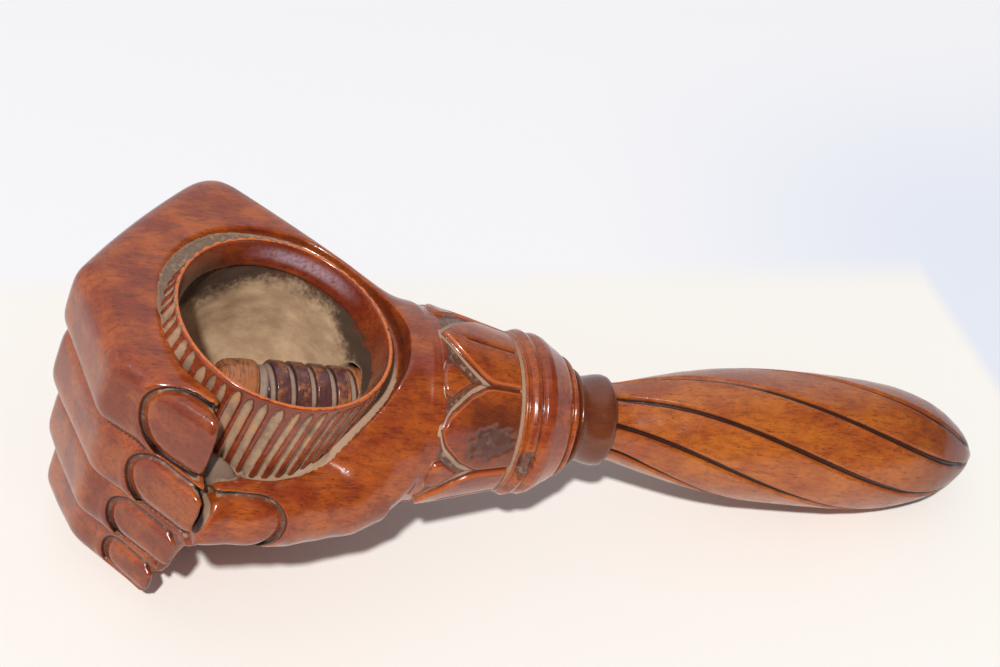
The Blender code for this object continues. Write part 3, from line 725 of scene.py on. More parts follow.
on_rim = smooth_step(height, 16.8, 17.15) * (1 - inside * smooth_step(-height, -17.0, -16.7))
# Painted highlight: a pale violet patch high on the neck's far right, where the lamp's gloss shows.
highlight_patch = near_line(angle - 68.0, 40.0, 8.0) * near_line(height - 15.0, 1.6, 0.4)
far_left = near_line(angle_from(angle, 150.0), 55.0, 20.0) * smooth_step(-height, -16.2, -13.0)
bowl = build_tube("fluted_bowl", bowl_points(spread, angle, height), {
    "stain": inside * look_up(STAIN_AND_SHADE_TABLE, angle),
    "shade": inside * far_left,
    "dust": scoop,
    "rim": on_rim,
    "depth": inside * (RIM_TOP - height),
    "haze": inside * highlight_patch,
})
print("bowl:", len(bowl.data.vertices), "points")

# %% [markdown]
# The screw reaches the nut through a round hole in the bowl's wall, and the nose draws back into
# it. The hole is cut with a Boolean, and its result is kept as the mesh.

# %% The hole in the bowl
HOLE_RADIUS, HOLE_SPAN = 6.0, (9.0, 21.0)
# The hole's wall and its edge get the finish of this depth below the rim
HOLE_DEPTH = 14.0


def bake(piece):
    """Keeps a piece's modified shape as its mesh."""
    bpy.context.view_layer.update()
    seen = piece.evaluated_get(bpy.context.evaluated_depsgraph_get())
    mesh = bpy.data.meshes.new_from_object(seen)
    piece.modifiers.clear()
    piece.data = mesh


def drill(piece, start, end, radius):
    """Cuts a round hole about the screw's axis through a piece."""
    radii = np.full((2, 96), radius)
    grid = turned_grid(np.array([[start], [end]]), radii)
    cutter = build_tube("drill", grid, {"depth": np.full_like(radii, HOLE_DEPTH)})
    change = piece.modifiers.new("hole", "BOOLEAN")
    change.operation = "DIFFERENCE"
    change.solver = "EXACT"
    change.object = cutter
    bake(piece)
    bpy.data.objects.remove(cutter)


def in_hand(piece):
    """A piece's points back in the hand's frame, in mm, as columns x, y and z."""
    co = np.empty(len(piece.data.vertices) * 3)
    piece.data.vertices.foreach_get("co", co)
    return (co.reshape(-1, 3) - ORIGIN) @ np.stack([ALONG, BACKWARD, UPWARD], axis=-1) / MM


drill(bowl, *HOLE_SPAN, HOLE_RADIUS)
x, y, z = in_hand(bowl).T
depth_layer = bowl.data.attributes["depth"].data
depths = np.empty(len(x), np.float32)
depth_layer.foreach_get("value", depths)
depths[(np.hypot(y, z) < HOLE_RADIUS + 0.2) & (x > HOLE_SPAN[0])] = HOLE_DEPTH
depth_layer.foreach_set("value", depths)
print("bowl faces after the hole:", len(bowl.data.polygons))

# %% [markdown]
# The cuff carries six pointed leaves round the wrist, with smaller tips showing between them.
# A leaf's outline is a table of half widths in degrees, eased so that its corners are round.
# How far a point lies inside that outline gives the relief, and how far outside gives the dust
# and the painted shade round the leaves.

# %% Leaf outlines
LEAF_CENTRES = np.arange(27.0, 387.0, 60.0)
SLIM_LEAF = 87.0
LEAF_PLACES = np.array((29.2, 30.2, 31.6, 32.4, 34.3, 35.3, 37.2, 38.6, 60.0))
LEAF_WIDTHS = np.array((0.0, 9.0, 13.5, 16.0, 22.5, 24.0, 28.5, 29.6, 29.6))
SLIM_WIDTHS = np.array((0.0, 3.6, 9.0, 12.2, 18.5, 21.5, 26.6, 29.6, 29.6))


def eased_table(places, widths):
    """The same table at fine steps, averaged over about 2 mm so that its corners are round."""
    fine = np.arange(places[0], 47.0, 0.1)
    window = np.hanning(25)
    table = np.interp(fine, places, widths)
    padded = np.concatenate([-table[12:0:-1], table, np.full(12, table[-1])])
    return fine, np.convolve(padded, window / window.sum(), "valid")


def leaf_depth(x, angle, radius):
    """How far inside the nearest big leaf a point is, in mm, and its angle from the leaf's rib."""
    best = np.full(x.shape, -9.0)
    rib = np.zeros(x.shape)
    for centre in LEAF_CENTRES:
        off = angle_from(angle, centre)
        widths = SLIM_WIDTHS if centre == SLIM_LEAF else LEAF_WIDTHS
        half = np.interp(x, *eased_table(LEAF_PLACES, widths))
        side = np.radians(half - np.abs(off)) * radius * 0.72
        ahead = x - LEAF_PLACES[0]
        inside = np.where(ahead < 0, -np.hypot(ahead, np.minimum(side, 0)), side)
        rib = np.where(inside > best, off, rib)
        best = np.maximum(best, inside)
    return best, rib


def tip_depth(x, angle, radius):
    """How far inside the nearest small leaf tip between two big leaves a point is, in mm."""
    best = np.full(x.shape, -9.0)
    for centre in LEAF_CENTRES + 30.0:
        off = np.abs(angle_from(angle, centre))
        half = np.interp(x, (28.6, 29.3, 30.6, 34.6), (4.0, 9.5, 10.5, 0.0))
        inside = soft_min(np.radians(half - off) * radius * 0.8, x - 28.7, 0.9)
        best = np.maximum(best, inside)
    return best


# %% [markdown]
# The cuff and the turned rings behind it are one relief on a grid about the screw. Round the
# leaves the surface drops to the wrist's own skin, as if the ground had been cut away.

# %% The leaf cuff and the rings
CUFF_START, CUFF_END, WRIST_END = 27.6, 44.2, 57.5
# Place along the screw and radius
RINGS = np.array([
    (44.2, 14.0), (44.7, 13.55), (45.1, 14.1), (45.4, 14.35), (45.65, 14.2), (45.95, 13.75),
    (46.15, 14.15), (46.5, 14.6), (47.2, 14.85), (47.9, 14.6), (48.3, 14.05), (48.5, 13.75),
    (48.75, 14.05), (49.2, 14.35), (50.0, 14.45), (51.0, 14.1), (52.2, 13.3), (53.4, 12.55),
    (54.4, 11.95), (55.0, 11.5), (55.25, 10.6), (55.5, 10.5), (55.75, 10.9), (56.1, 11.0),
    (56.5, 10.7), (56.8, 9.9), (57.1, 9.0), (57.5, 8.8),
])


def scar(x, angle, centre_x, centre_angle, long, wide):
    """A soft-edged patch, 1 in its middle, roughened by the ripple."""
    off = angle_from(angle, centre_angle) * 0.27
    gap = np.sqrt(((x - centre_x) / long) ** 2 + (off / wide) ** 2)
    return smooth_step(-(gap + 0.25 * ripple(x * 3, off * 3, x - off, 5)), -1.1, -0.7)


places = np.concatenate([
    np.linspace(CUFF_START, CUFF_END, int(100 * FINE)), np.linspace(44.3, WRIST_END, int(92 * FINE)),
])
x, angle = ring_grid(places, int(500 * FINE))
on_leaves = x < CUFF_END
shell = np.interp(x, (28.0, 30.0, 44.2), (17.5, 17.75, 14.25))
under = look_up(WRIST_PROFILE, x) - 0.5
under = under + 0.46 * smooth_step(x, 27.6, 28.3)
big, rib = leaf_depth(x, angle, shell)
small = tip_depth(x, angle, shell)
big_raise = smooth_step(big, 0.0, 0.55) * (0.92 + 0.3 * smooth_step(big, 0.3, 3.0))
small_raise = smooth_step(small, 0.0, 0.5) * 0.8
rib_width = np.abs(np.radians(rib)) * shell
rib_groove = (1 - smooth_step(rib_width, 0.05, 0.6)) * smooth_step(x, 32.8, 35.0) * (x < CUFF_END - 0.2)
rib_groove = rib_groove * (np.abs(angle_from(angle, 147.0)) > 20)
raised = np.minimum(np.maximum(big_raise, small_raise), 1.0)
radius = under + (shell + 0.12 - under) * raised
radius = radius + 0.25 * np.maximum(big_raise - 1, 0) - 0.45 * rib_groove
radius = np.where(x > CUFF_END, look_up(RINGS, x), radius)
damage = scar(x, angle, 39.5, 154.0, 4.8, 3.2)
chip = scar(x, angle, 47.2, 172.0, 1.6, 3.4) * (x > 44.4)
radius = radius - 0.22 * damage * (1 + 0.6 * ripple(x * 2, angle * 0.5, x, 2)) - 0.7 * chip

front_grooves = np.interp(
    x, (44.0, 44.5, 44.9, 45.2, 45.8, 45.95, 46.1, 48.3, 48.5, 48.7), (0, 1, 1, 0.1, 0, 0.8, 0, 0, 0.7, 0)
)
back_groove = np.interp(x, (55.1, 55.3, 55.5, 55.7), (0, 1, 1, 0))
ring_groove = np.maximum(front_grooves * (x < 49.0), back_groove * (x > 50))
away = -np.maximum(big, small)
at_front = 1 - smooth_step(x, 29.0, 29.8)
dusty_line = np.maximum(near_line(big + 0.5, 0.6, 0.15), near_line(away - 0.36, 0.42, 0.1) * at_front)
leaf_dust = np.maximum(dusty_line * 0.72 * (small < 0.05), rib_groove * 0.3)
# Painted shade: a dark band round the foot of each leaf.
outline_dark = near_line(away + 0.02, 0.3, 0.05) * on_leaves * 0.62
# Painted shade in the grooves between the turned rings.
ring_dark = ring_groove * np.where(x < 45.3, 0.3, 0.75)
# Painted shade: the ground between a big leaf and the small tip beside it is darkened, carried with the
# grime.
shade = smooth_step(away, 0.0, 0.25) * smooth_step(-big, 0.6, 1.0) * smooth_step(x, 29.0, 30.0)
far_side = near_line(angle_from(angle, 148.0), 30.0, 12.0) * smooth_step(x, 31.0, 36.0)
cuff = build_tube("leaf_cuff", turned_grid(x, radius), {
    "dust": np.where(x > CUFF_END, ring_groove * np.where(x < 45.3, 0.75, 0.4), leaf_dust),
    "worn": near_line(big - 0.45, 0.35, 0.05) * on_leaves,
    "dark": np.maximum.reduce([outline_dark, ring_dark, rib_groove * 0.7]),
    "grime": np.maximum(damage + chip, shade * on_leaves),
    "deep": 0.8 * far_side * on_leaves,
})
drill(cuff, CUFF_START - 0.6, WRIST_END + 0.5, BORE_RADIUS - 0.1)
print("cuff:", len(cuff.data.vertices), "points")

# %% [markdown]
# The screw's thread is a height on a grid: its radius depends only on how far along the helix a
# point is. The crests are rounded by wear, and dust lies in the narrow roots.

# %% The screw
PITCH, ROOT_RADIUS, CREST_RADIUS = 3.6, 4.1, 5.2
SCREW_TIP, SPIGOT_END, TENON_END = 0.6, -3.6, 71.5
SPIGOT_RADIUS, TENON_RADIUS, POLE_RADIUS = 2.2, 3.8, 0.4


def thread_height(x, angle):
    """0 in the root and 1 on the crest; the phase is (x - start) / pitch - angle / full turn."""
    travelled = (x - SCREW_TIP - 0.3) / PITCH - angle / 360.0
    wave = 0.5 + 0.5 * np.cos(math.tau * (travelled - 0.625))
    crest = smooth_step(wave, 0.03, 0.34)
    fade = np.clip((x - 1.2) / 1.5, 0, 1) * np.clip((WRIST_END - x) / 2.0, 0, 1)
    return crest * fade


thread_places = np.linspace(SCREW_TIP, WRIST_END, int(420 * FINE))
places = np.concatenate([
    [SPIGOT_END, SPIGOT_END, SCREW_TIP], thread_places, [WRIST_END, TENON_END, TENON_END],
])
plain = np.concatenate([
    [POLE_RADIUS, SPIGOT_RADIUS, SPIGOT_RADIUS], np.full(len(thread_places), ROOT_RADIUS),
    [TENON_RADIUS, TENON_RADIUS, POLE_RADIUS],
])
x, angle = ring_grid(places, int(120 * FINE))
crest = thread_height(x, angle)
crest[:3] = 0
crest[-3:] = 0
worn_down = 0.05 * ripple(angle * 0.2, x, x * 0, 4) * crest
radius = plain[:, None] + (CREST_RADIUS - ROOT_RADIUS) * crest - np.abs(worn_down)
rubbed = smooth_step(x, 15.0, 17.0) * smooth_step(-x, -21.0, -19.0)
screw = build_tube("wooden_screw", turned_grid(x, radius), {"crest": crest, "rubbed": rubbed})
print("screw:", len(screw.data.vertices), "points")

# %% [markdown]
# The nose is a plain turned button with faint rings from its use. Its outline runs from the
# blind hole for the screw's spigot over the rim to the tip, against the axis, so its faces are
# turned round.

# %% The pressure nose
# Place along the screw and radius
NOSE_HOLE = np.array([(-3.9, 0.3), (-3.9, 2.5)])
NOSE = np.array([
    (0.3, 2.5), (0.3, 4.3), (0.15, 4.6), (-0.4, 4.85), (-2.0, 4.9), (-3.4, 4.82),
    (-4.6, 4.7), (-5.5, 4.45), (-6.1, 4.0), (-6.4, 3.3), (-6.5, 1.5), (-6.5, 0.3),
])
row = np.arange(len(NOSE))
steps = np.linspace(0, row[-1], int(60 * FINE))
outline = np.stack([np.interp(steps, row, NOSE[:, 0]), np.interp(steps, row, NOSE[:, 1])], axis=-1)
outline = np.concatenate([NOSE_HOLE, outline])
x = np.repeat(outline[:, :1], int(96 * FINE), axis=1)
scratches = 0.03 * np.sin(x * 9.0) * (x < 0.0) * (x > -5.5)
nose = build_tube("nose_button", turned_grid(x, outline[:, 1:] + scratches), {
    "crest": np.ones_like(x), "rubbed": np.full_like(x, 0.65)}, flip=True)
print("nose:", len(nose.data.vertices), "points")

# %% [markdown]
# The handle is turned, then eight spiral grooves are cut into it. The strips between them are a
# little flatter than the round. It is a grid whose columns follow the spiral, so each groove
# stays on its column.

# %% The spiral handle
COLLAR_END, GRIP_END = 65.6, 143.1
STRIPS, TWIST, FIRST_GROOVE = 8, 112.0, 3.0
GROOVE_REACH, GROOVE_DEPTH, FLATTENING = 0.75, 1.05, 0.022
# Share of the grip's length and radius
GRIP = np.array([
    (0.0, 6.9), (0.03, 7.2), (0.07, 8.05), (0.126, 9.2), (0.19, 10.4), (0.274, 11.5), (0.36, 12.25),
    (0.45, 12.67), (0.535, 12.85), (0.61, 12.79), (0.69, 12.4), (0.76, 11.76), (0.81, 10.92),
    (0.86, 9.7), (0.905, 7.97), (0.945, 5.91), (0.975, 3.86), (0.993, 1.93), (1.0, 0.7),
])
# Place along the screw and radius: the blind hole for the tenon, the bead and the waisted collar
COLLAR = np.array([
    (71.8, 0.4), (71.8, 4.1), (57.8, 4.1), (57.8, 8.2), (57.95, 8.7), (58.35, 9.0), (58.75, 8.75),
    (59.0, 8.0), (59.3, 7.7), (60.2, 7.62), (61.5, 7.8), (63.0, 8.15), (64.3, 8.3), (65.0, 8.15),
    (65.4, 7.6),
])
share = np.linspace(0, 1, int(260 * FINE)) ** 0.92
grip_radius = look_up(GRIP, share)
window = np.hanning(15)
ends = np.full(7, grip_radius[0]), grip_radius[-1] * np.linspace(1, 0.4, 7)
padded = np.concatenate([ends[0], grip_radius, ends[1]])
grip_radius = np.convolve(padded, window / window.sum(), "valid")
places = np.concatenate([COLLAR[:, 0], COLLAR_END + (GRIP_END - COLLAR_END) * share])
profile = np.concatenate([COLLAR[:, 1], grip_radius])
grip_share = np.clip((places - COLLAR_END) / (GRIP_END - COLLAR_END), 0, 1)
x, column_angle = ring_grid(places, int(STRIPS * 36 * FINE))
angle = column_angle + (FIRST_GROOVE + TWIST * grip_share)[:, None]
strip = (column_angle * STRIPS / 360.0 + 0.5) % 1.0 - 0.5
base = profile[:, None] + 0 * x
row = np.arange(len(places))[:, None]
from_groove = np.abs(strip) * math.tau / STRIPS * base
on_grip = (row >= len(COLLAR)) * smooth_step(GRIP_END - x, 0.3, 6.0)
groove = np.clip(1 - from_groove / GROOVE_REACH, 0, 1) ** 0.8
depth = np.minimum(GROOVE_DEPTH, base * 0.16)
flat = FLATTENING * base * (1 - (2 * (0.5 - np.abs(strip))) ** 2)
radius = base - on_grip * (depth * groove + flat)
grid = np.stack([x, radius * np.cos(np.radians(angle)), radius * np.sin(np.radians(angle))], axis=-1)
# Painted shade in the spiral grooves.
grooves = smooth_step(groove, 0.25, 0.75) * (on_grip > 0.02)
start_shade = smooth_step(COLLAR_END - x, -0.5, 0.0) * (row >= len(COLLAR) - 1)
by_collar = smooth_step(-x, -COLLAR_END - 0.3, -COLLAR_END)
handle = build_tube("spiral_handle", grid, {
    "dark": np.maximum(grooves, start_shade * 0.6),
    "deep": np.maximum(by_collar * 0.95, smooth_step(x, 116.0, 142.0) * 0.75),
})
print("handle:", len(handle.data.vertices), "points")

# %% [markdown]
# Every finish is built from the same parts: coordinates in the hand's own millimetres, noise
# for the wood's figure and flecks, and the painted attributes for dust, grime, wear, dark lines,
# painted shade and painted dark reflection.

# %% Finish helpers


def fill(socket, value):
    """Links a socket to a node's output, or sets its own value."""
    if isinstance(value, bpy.types.NodeSocket):
        socket.id_data.links.new(value, socket)
    else:
        socket.default_value = value


def node_adder(tree):
    """A helper that adds a node to a tree and fills its inputs.

    An input is named by its label, with _ for a space, or by i and its number.
    """
    def add(kind, settings=None, **inputs):
        made = tree.nodes.new(kind)
        for key, value in (settings or {}).items():
            setattr(made, key, value)
        for key, value in inputs.items():
            numbered = key[0] == "i" and key[1:].isdigit()
            fill(made.inputs[int(key[1:]) if numbered else key.replace("_", " ")], value)
        return made

    return add


def new_finish(name):
    """An empty material, its shader, and the helper that adds its nodes."""
    material = bpy.data.materials.new(name)
    material.use_nodes = True
    return material, material.node_tree.nodes["Principled BSDF"], node_adder(material.node_tree)


def complete(shader, add, colour, gloss, height, strength, distance):
    """Joins a colour, a roughness and a bump of this strength and distance to the shader."""
    bump = add("ShaderNodeBump", Height=height, Strength=strength, Distance=distance).outputs[0]
    for label, value in (("Base Color", colour), ("Roughness", gloss), ("Normal", bump)):
        fill(shader.inputs[label], value)


def hand_place(add, stretch=(1.0, 1.0, 1.0)):
    """Object coordinates turned into the hand's frame, in mm, stretched along each axis."""
    source = add("ShaderNodeTexCoord").outputs["Object"]
    mapping = add("ShaderNodeMapping", {"vector_type": "TEXTURE"}, Vector=source, Location=ORIGIN,
                  Rotation=(0, TILT, 0), Scale=[MM * way for way in stretch])
    return mapping.outputs["Vector"]


def noise(add, place, scale, detail=3.0, rough=0.55):
    """Noise from 0 to 1 with this many bumps for each unit of place."""
    made = add("ShaderNodeTexNoise", Vector=place, Scale=scale, Detail=detail, Roughness=rough)
    return made.outputs[0]


def ramp(add, value, low, high, out_low=0.0, out_high=1.0):
    """The value's range from low to high mapped smoothly on to another range, and clipped."""
    made = add("ShaderNodeMapRange", {"interpolation_type": "SMOOTHSTEP", "clamp": True},
               Value=value, From_Min=low, From_Max=high, To_Min=out_low, To_Max=out_high)
    return made.outputs[0]


def blend(add, share, first, second):
    """A colour between two colours, by a share from 0 to 1."""
    return add("ShaderNodeMix", {"data_type": "RGBA"}, i0=share, i6=first, i7=second).outputs[2]


def blend_value(add, share, first, second):
    """A number between two numbers, by a share from 0 to 1."""
    return add("ShaderNodeMix", {"data_type": "FLOAT"}, i0=share, i2=first, i3=second).outputs[0]


def math_node(add, operation, first, second):
    """The result of one operation of arithmetic on two values."""
    return add("ShaderNodeMath", {"operation": operation}, i0=first, i1=second).outputs[0]


def plus(add, first, second):
    """The sum of two values."""
    return math_node(add, "ADD", first, second)


def times(add, first, second):
    """The product of two values."""
    return math_node(add, "MULTIPLY", first, second)


def painted_value(add, label):
    """The value painted on the piece under this name."""
    return add("ShaderNodeAttribute", {"attribute_name": label}).outputs["Fac"]


# %% [markdown]
# The hand is polished walnut, stained red: an orange-brown ground with darker clouds, fine dark
# flecks along the grain, and a hard gloss. Dust takes the gloss away.

# %% Polished wood
GLOW, GROUND = (0.42, 0.088, 0.011, 1), (0.25, 0.036, 0.008, 1)
CLOUD, FLECK = (0.095, 0.015, 0.006, 1), (0.03, 0.007, 0.004, 1)
DUST, DUST_PALE, DARK_LINE_AND_SHADE = (0.32, 0.195, 0.12, 1), (0.50, 0.33, 0.21, 1), (0.020, 0.008, 0.008, 1)
WORN_EDGE, GRIME_AND_SHADE, DEEP_TONE_AND_SHADE = (0.58, 0.13, 0.02, 1), (0.055, 0.034, 0.026, 1), (0.075, 0.014, 0.006, 1)
POLISH_IOR = 1.56


def polished_colour(add, glow, ground, cloud):
    """The wood's own colour: clouds, long streaks and flecks."""
    clouds = noise(add, hand_place(add, (1.4, 1, 1)), 0.15, 5.0, 0.65)
    streaks = noise(add, hand_place(add, (3.2, 0.7, 0.7)), 0.85, 4.0, 0.65)
    colour = blend(add, ramp(add, clouds, 0.38, 0.64), ground, glow)
    colour = blend(add, ramp(add, streaks, 0.44, 0.70, 0.0, 0.5), colour, cloud)
    flecks = noise(add, hand_place(add, (1.5, 0.24, 0.24)), 1.1, 2.0)
    return blend(add, ramp(add, flecks, 0.56, 0.70, 0.0, 0.6), colour, FLECK), flecks


def dust_layer(add, ragged, low, grain):
    """Where the painted dust lies, with a ragged edge that begins at low, and its beige colour."""
    amount = plus(add, painted_value(add, "dust"), times(add, ragged, 0.5))
    beige = blend(add, noise(add, hand_place(add), grain, 3.0), DUST, DUST_PALE)
    return ramp(add, amount, low, 0.85), beige


def polished_wood(name, glow=GLOW, ground=GROUND, cloud=CLOUD, dusty=True, rough=0.15):
    """Stained and polished wood, with painted dust, grime, dark lines, rubbed edges, and painted shade and
    dark reflection.
    """
    material, shader, add = new_finish(name)
    colour, flecks = polished_colour(add, glow, ground, cloud)
    gloss = ramp(add, noise(add, hand_place(add), 0.35, 3.0), 0.35, 0.75, rough, rough + 0.10)
    height = ramp(add, flecks, 0.58, 0.75, 1.0, 0.0)
    if dusty:
        colour = blend(add, ramp(add, painted_value(add, "worn"), 0.3, 1.0, 0.0, 0.55), colour, WORN_EDGE)
        ragged = noise(add, hand_place(add), 1.6, 4.0, 0.65)
        share, beige = dust_layer(add, ragged, 0.55, 2.4)
        colour = blend(add, share, colour, beige)
        gloss = blend_value(add, share, gloss, 0.85)
        mottle = noise(add, hand_place(add), 0.9, 4.0, 0.65)
        # Grime, and painted shade in the cuff's recesses, darken the colour here.
        grime = times(add, painted_value(add, "grime"), ramp(add, mottle, 0.25, 0.6, 0.55, 1.0))
        grime_and_shade_colour = blend(add, ramp(add, mottle, 0.5, 0.68), GRIME_AND_SHADE, DUST)
        colour = blend(add, ramp(add, grime, 0.0, 1.0, 0.0, 0.8), colour, grime_and_shade_colour)
        gloss = blend_value(add, grime, gloss, 0.5)
    # Painted dark reflection on the fingers' and the wrist's front faces, and the deeper tone of the
    # collar, the handle's end and a cuff leaf, darken the colour here.
    colour = blend(add, times(add, painted_value(add, "deep"), 0.85), colour, DEEP_TONE_AND_SHADE)
    # Painted shade and dark lines: creases, grooves, leaf outlines and the ledge's edge are darkened here.
    dark = ramp(add, painted_value(add, "dark"), 0.1, 0.9, 0.0, 0.94)
    colour = blend(add, dark, colour, DARK_LINE_AND_SHADE)
    complete(shader, add, colour, gloss, height, 0.12, 0.0001)
    shader.inputs["IOR"].default_value = POLISH_IOR
    return material


hand_finish = polished_wood("polished_hand")
cuff_finish = polished_wood("polished_cuff")
fist.data.materials.append(hand_finish)
cuff.data.materials.clear()
cuff.data.materials.append(cuff_finish)
print("finishes:", hand_finish.name, cuff_finish.name)

# %% [markdown]
# The bowl has three looks on one mesh: red lands and dusty flutes outside, a rim rubbed to
# bright orange, and inside it a glossy neck, with a painted highlight on its far right and
# painted shade on its far left, above a rough, dusty hollow darkened in patches by stain and
# painted shade.

# %% The bowl's finish
LAND_COLOURS = (0.30, 0.055, 0.014, 1), (0.19, 0.028, 0.010, 1), (0.075, 0.014, 0.009, 1)
FLUTE_ORANGE, FLUTE_DIRT, RIM_ORANGE = (0.55, 0.26, 0.09, 1), (0.15, 0.08, 0.05, 1), (0.66, 0.15, 0.022, 1)
NECK_HIGHLIGHT_TINT, NECK_SHADE = (0.46, 0.33, 0.38, 1), (0.045, 0.014, 0.008, 1)
HOLLOW, HOLLOW_PALE, HOLLOW_STAIN_AND_SHADE = (0.38, 0.235, 0.135, 1), (0.56, 0.37, 0.22, 1), (0.052, 0.024, 0.013, 1)


def bowl_finish():
    """Polished wood outside and on the neck, dust in the flutes, and a rough grey-brown hollow; a painted
    highlight and painted shade on the neck, and stain and painted shade in the hollow.
    """
    material, shader, add = new_finish("fluted_bowl_finish")
    colour = polished_colour(add, *LAND_COLOURS)[0]
    ragged = noise(add, hand_place(add), 1.5, 4.0, 0.65)
    coarse = noise(add, hand_place(add), 0.28, 4.0, 0.6)
    dusty, beige = dust_layer(add, ragged, 0.5, 1.2)
    rubbed = blend(add, ramp(add, coarse, 0.55, 0.68, 0.0, 0.8), beige, FLUTE_ORANGE)
    rubbed = blend(add, ramp(add, coarse, 0.36, 0.56, 0.5, 0.0), rubbed, FLUTE_DIRT)
    colour = blend(add, dusty, colour, rubbed)
    rim = plus(add, painted_value(add, "rim"), times(add, ragged, 0.8))
    colour = blend(add, ramp(add, rim, 1.15, 1.4), colour, RIM_ORANGE)
    # Painted highlight: the pale violet patch on the neck's far right.
    haze = times(add, painted_value(add, "haze"), ramp(add, ragged, 0.3, 0.6, 0.25, 0.75))
    colour = blend(add, haze, colour, NECK_HIGHLIGHT_TINT)
    depth = plus(add, painted_value(add, "depth"), times(add, coarse, 7.0))
    hollow = ramp(add, depth, 8.2, 9.8)
    grain = noise(add, hand_place(add, (1.5, 1.2, 1.0)), 0.22, 6.0, 0.65)
    floor = blend(add, ramp(add, grain, 0.35, 0.68), HOLLOW, HOLLOW_PALE)
    # Stain and painted shade: darker patches in the hollow, strongest at the table's angles.
    mixed = plus(add, times(add, grain, 5.0), times(add, ragged, 5.0))
    reach = math_node(add, "SUBTRACT", mixed, times(add, painted_value(add, "stain"), 8.0))
    stain = ramp(add, plus(add, depth, reach), 10.5, 15.0, 0.94, 0.0)
    floor = blend(add, stain, floor, HOLLOW_STAIN_AND_SHADE)
    colour = blend(add, times(add, painted_value(add, "shade"), 0.8), colour, NECK_SHADE)
    colour = blend(add, hollow, colour, floor)
    gloss = blend_value(add, hollow, blend_value(add, dusty, 0.18, 0.85), 0.8)
    rough = times(add, grain, hollow)
    complete(shader, add, colour, gloss, rough, 0.35, 0.0006)
    return material


bowl.data.materials.clear()
bowl.data.materials.append(bowl_finish())
print("bowl finish made")

# %% [markdown]
# The screw and its nose are bare wood, worn and handled: pale orange and grey-pink where they
# are rubbed, and dark red-brown where they are not. Pale dust lies in the thread's roots, and
# painted shade darkens the flanks beside them.

# %% The screw's and the handle's finishes
WORN_DARK, WORN_ORANGE, RING_DARK = (0.105, 0.040, 0.038, 1), (0.40, 0.14, 0.05, 1), (0.06, 0.020, 0.016, 1)
FLANK_SHADE, ROOT, ROOT_DUST = (0.035, 0.014, 0.014, 1), (0.13, 0.075, 0.055, 1), (0.46, 0.32, 0.24, 1)
HANDLE_COLOURS = (0.46, 0.120, 0.014, 1), (0.33, 0.066, 0.010, 1), (0.15, 0.027, 0.007, 1)


def worn_wood(name):
    """Bare worn wood: dark red-brown crests with rubbed orange spots, painted shade on the flanks, and
    dusty roots.
    """
    material, shader, add = new_finish(name)
    blotch = noise(add, hand_place(add), 0.45, 4.0, 0.65)
    rings = noise(add, hand_place(add, (0.25, 2.0, 2.0)), 0.8, 3.0)
    rubbed = plus(add, blotch, times(add, painted_value(add, "rubbed"), 0.3))
    colour = blend(add, ramp(add, rubbed, 0.45, 0.72), WORN_DARK, WORN_ORANGE)
    colour = blend(add, ramp(add, rings, 0.5, 0.7, 0.0, 0.7), colour, RING_DARK)
    crest = painted_value(add, "crest")
    # Painted shade: the thread's flanks, between crest and root, are darkened.
    colour = blend(add, ramp(add, crest, 0.55, 0.9, 0.9, 0.0), colour, FLANK_SHADE)
    root = ramp(add, crest, 0.1, 0.5, 1.0, 0.0)
    colour = blend(add, root, colour, blend(add, blotch, ROOT, ROOT_DUST))
    gloss = blend_value(add, root, ramp(add, blotch, 0.3, 0.7, 0.16, 0.34), 0.7)
    complete(shader, add, colour, gloss, rings, 0.25, 0.0002)
    return material


screw.data.materials.append(worn_wood("worn_screw"))
nose.data.materials.append(worn_wood("worn_nose"))
handle.data.materials.append(polished_wood("polished_handle", *HANDLE_COLOURS, dusty=False, rough=0.2))
print("worn and handle finishes made")

# %% [markdown]
# The new pieces stand for the CAD solids and ride on their bodies, so the joints move them.

# %% Ride and replace
for piece in (fist, bowl, cuff):
    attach(piece, "fist")
    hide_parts("carved_fist")
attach(screw, "turning")
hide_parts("screw")
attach(handle, "turning")
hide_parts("handle")
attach(nose, "nose")
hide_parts("pressure_nose")

# %% [markdown]
# The nutcracker lies near the corner of a white shelf. Beyond the shelf's far and right edges
# is a paler, bluish wall, out of focus in the photograph, so it is a second colour on the same
# sheet. The lamp stands behind the viewer and a little higher, so the shadow shows only close
# under the hand. Gloss sees a room that is bright on the left and beyond the shelf.

# %% Shelf, wall and lights
FLOOR_REACH = 2.5
# In metres, the shelf's far edge is y = FAR_EDGE + FAR_SLOPE x, and its right edge is
# x = RIGHT_EDGE + RIGHT_SLOPE y
FAR_EDGE, FAR_SLOPE = 0.0547, -0.0644
RIGHT_EDGE, RIGHT_SLOPE = 0.1053, -0.182
EDGE_BLUR = 0.006
SHELF, WALL, WALL_SHADE = (0.91, 0.88, 0.83, 1), (0.89, 0.885, 0.905, 1), (0.76, 0.79, 0.87, 1)
LAMP_PLACE, LAMP_AIM = (-0.576, -1.516, 2.557), (-0.02, 0, 0.03)
LAMP_SIZE, LAMP_POWER, LAMP_COLOUR = 0.11, 84.5, (1.0, 0.99, 0.975)


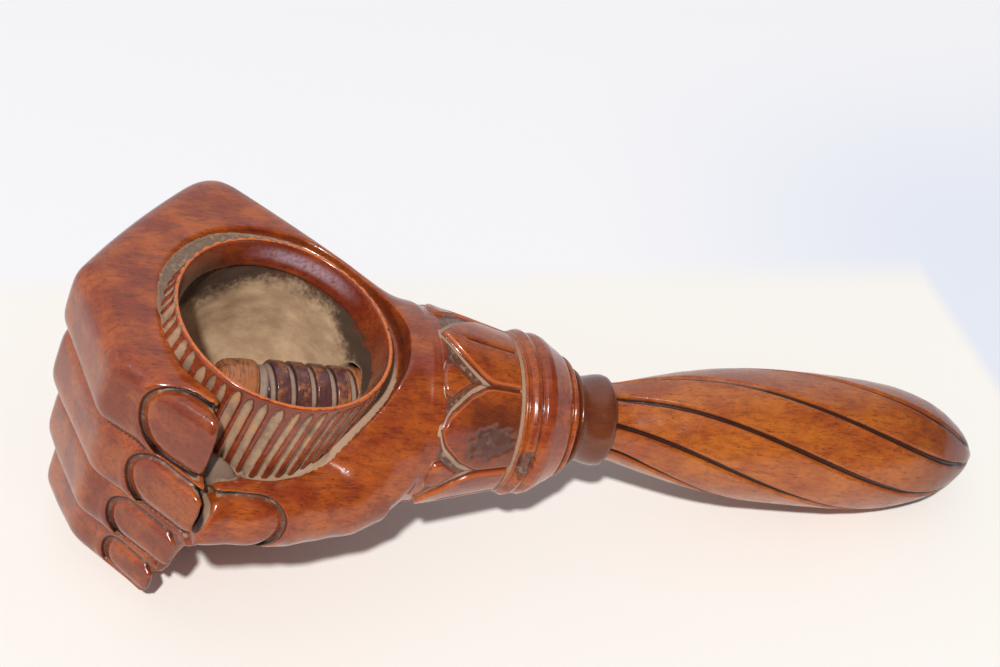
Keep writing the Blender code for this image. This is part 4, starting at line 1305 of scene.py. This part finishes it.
def stage_finish():
    """A matt sheet in the shelf's colour, with the wall's colours beyond its two edges."""
    material, shader, add = new_finish("shelf_and_wall")
    place = add("ShaderNodeSeparateXYZ", Vector=add("ShaderNodeTexCoord").outputs["Object"])
    x, y = place.outputs["X"], place.outputs["Y"]
    past_far = math_node(add, "SUBTRACT", y, times(add, x, FAR_SLOPE))
    past_right = math_node(add, "SUBTRACT", x, times(add, y, RIGHT_SLOPE))
    far = ramp(add, past_far, FAR_EDGE - EDGE_BLUR, FAR_EDGE + EDGE_BLUR)
    right = ramp(add, past_right, RIGHT_EDGE - EDGE_BLUR / 3, RIGHT_EDGE + EDGE_BLUR / 3)
    # Painted shade: the wall beyond the shelf's right edge darkens towards the right and the front.
    deep = times(add, ramp(add, x, 0.02, 0.11), ramp(add, y, 0.13, 0.055))
    wall = blend(add, deep, WALL, WALL_SHADE)
    fill(shader.inputs["Base Color"], blend(add, math_node(add, "MAXIMUM", far, right), SHELF, wall))
    shader.inputs["Roughness"].default_value = 0.9
    shader.inputs["Specular IOR Level"].default_value = 0.1
    return material


def area_light(name, place, aim, size, power, colour):
    """A square light at a place, turned to face its aim."""
    data = bpy.data.lights.new(name, "AREA")
    data.size = size
    data.energy = power
    data.color = colour
    light = bpy.data.objects.new(name, data)
    bpy.context.collection.objects.link(light)
    way = np.array(aim) - np.array(place)
    light.location = place
    light.rotation_euler = (math.atan2(math.hypot(way[0], way[1]), -way[2]), 0, math.atan2(-way[0], way[1]))


corners = [(x * FLOOR_REACH, y * FLOOR_REACH, 0) for x, y in ((-1, -1), (1, -1), (1, 1), (-1, 1))]
sheet_mesh = bpy.data.meshes.new("shelf")
sheet_mesh.from_pydata(corners, [], [(0, 1, 2, 3)])
sheet = bpy.data.objects.new("shelf", sheet_mesh)
bpy.context.collection.objects.link(sheet)
sheet.data.materials.append(stage_finish())
area_light("lamp", LAMP_PLACE, LAMP_AIM, LAMP_SIZE, LAMP_POWER, LAMP_COLOUR)

ROOM_TINT, ROOM_FILL, ROOM_DIM, ROOM_GLOSS = (0.90, 0.94, 1.0, 1), 0.31, 0.10, 1.0
# Points to the bright side of the room, on the left and beyond the shelf
BRIGHT_SIDE = (-0.62, 0.70, 0.35)
world = bpy.data.worlds.new("room")
bpy.context.scene.world = world
world.use_nodes = True
sky = world.node_tree.nodes["Background"]
sky.inputs["Color"].default_value = ROOM_TINT
add = node_adder(world.node_tree)
facing = add("ShaderNodeVectorMath", {"operation": "DOT_PRODUCT"},
             i0=add("ShaderNodeTexCoord").outputs["Generated"], i1=BRIGHT_SIDE).outputs["Value"]
gloss_light = ramp(add, facing, -0.15, 0.38, ROOM_DIM, ROOM_GLOSS)
glossy = add("ShaderNodeLightPath").outputs["Is Glossy Ray"]
fill(sky.inputs["Strength"], blend_value(add, glossy, ROOM_FILL, gloss_light))
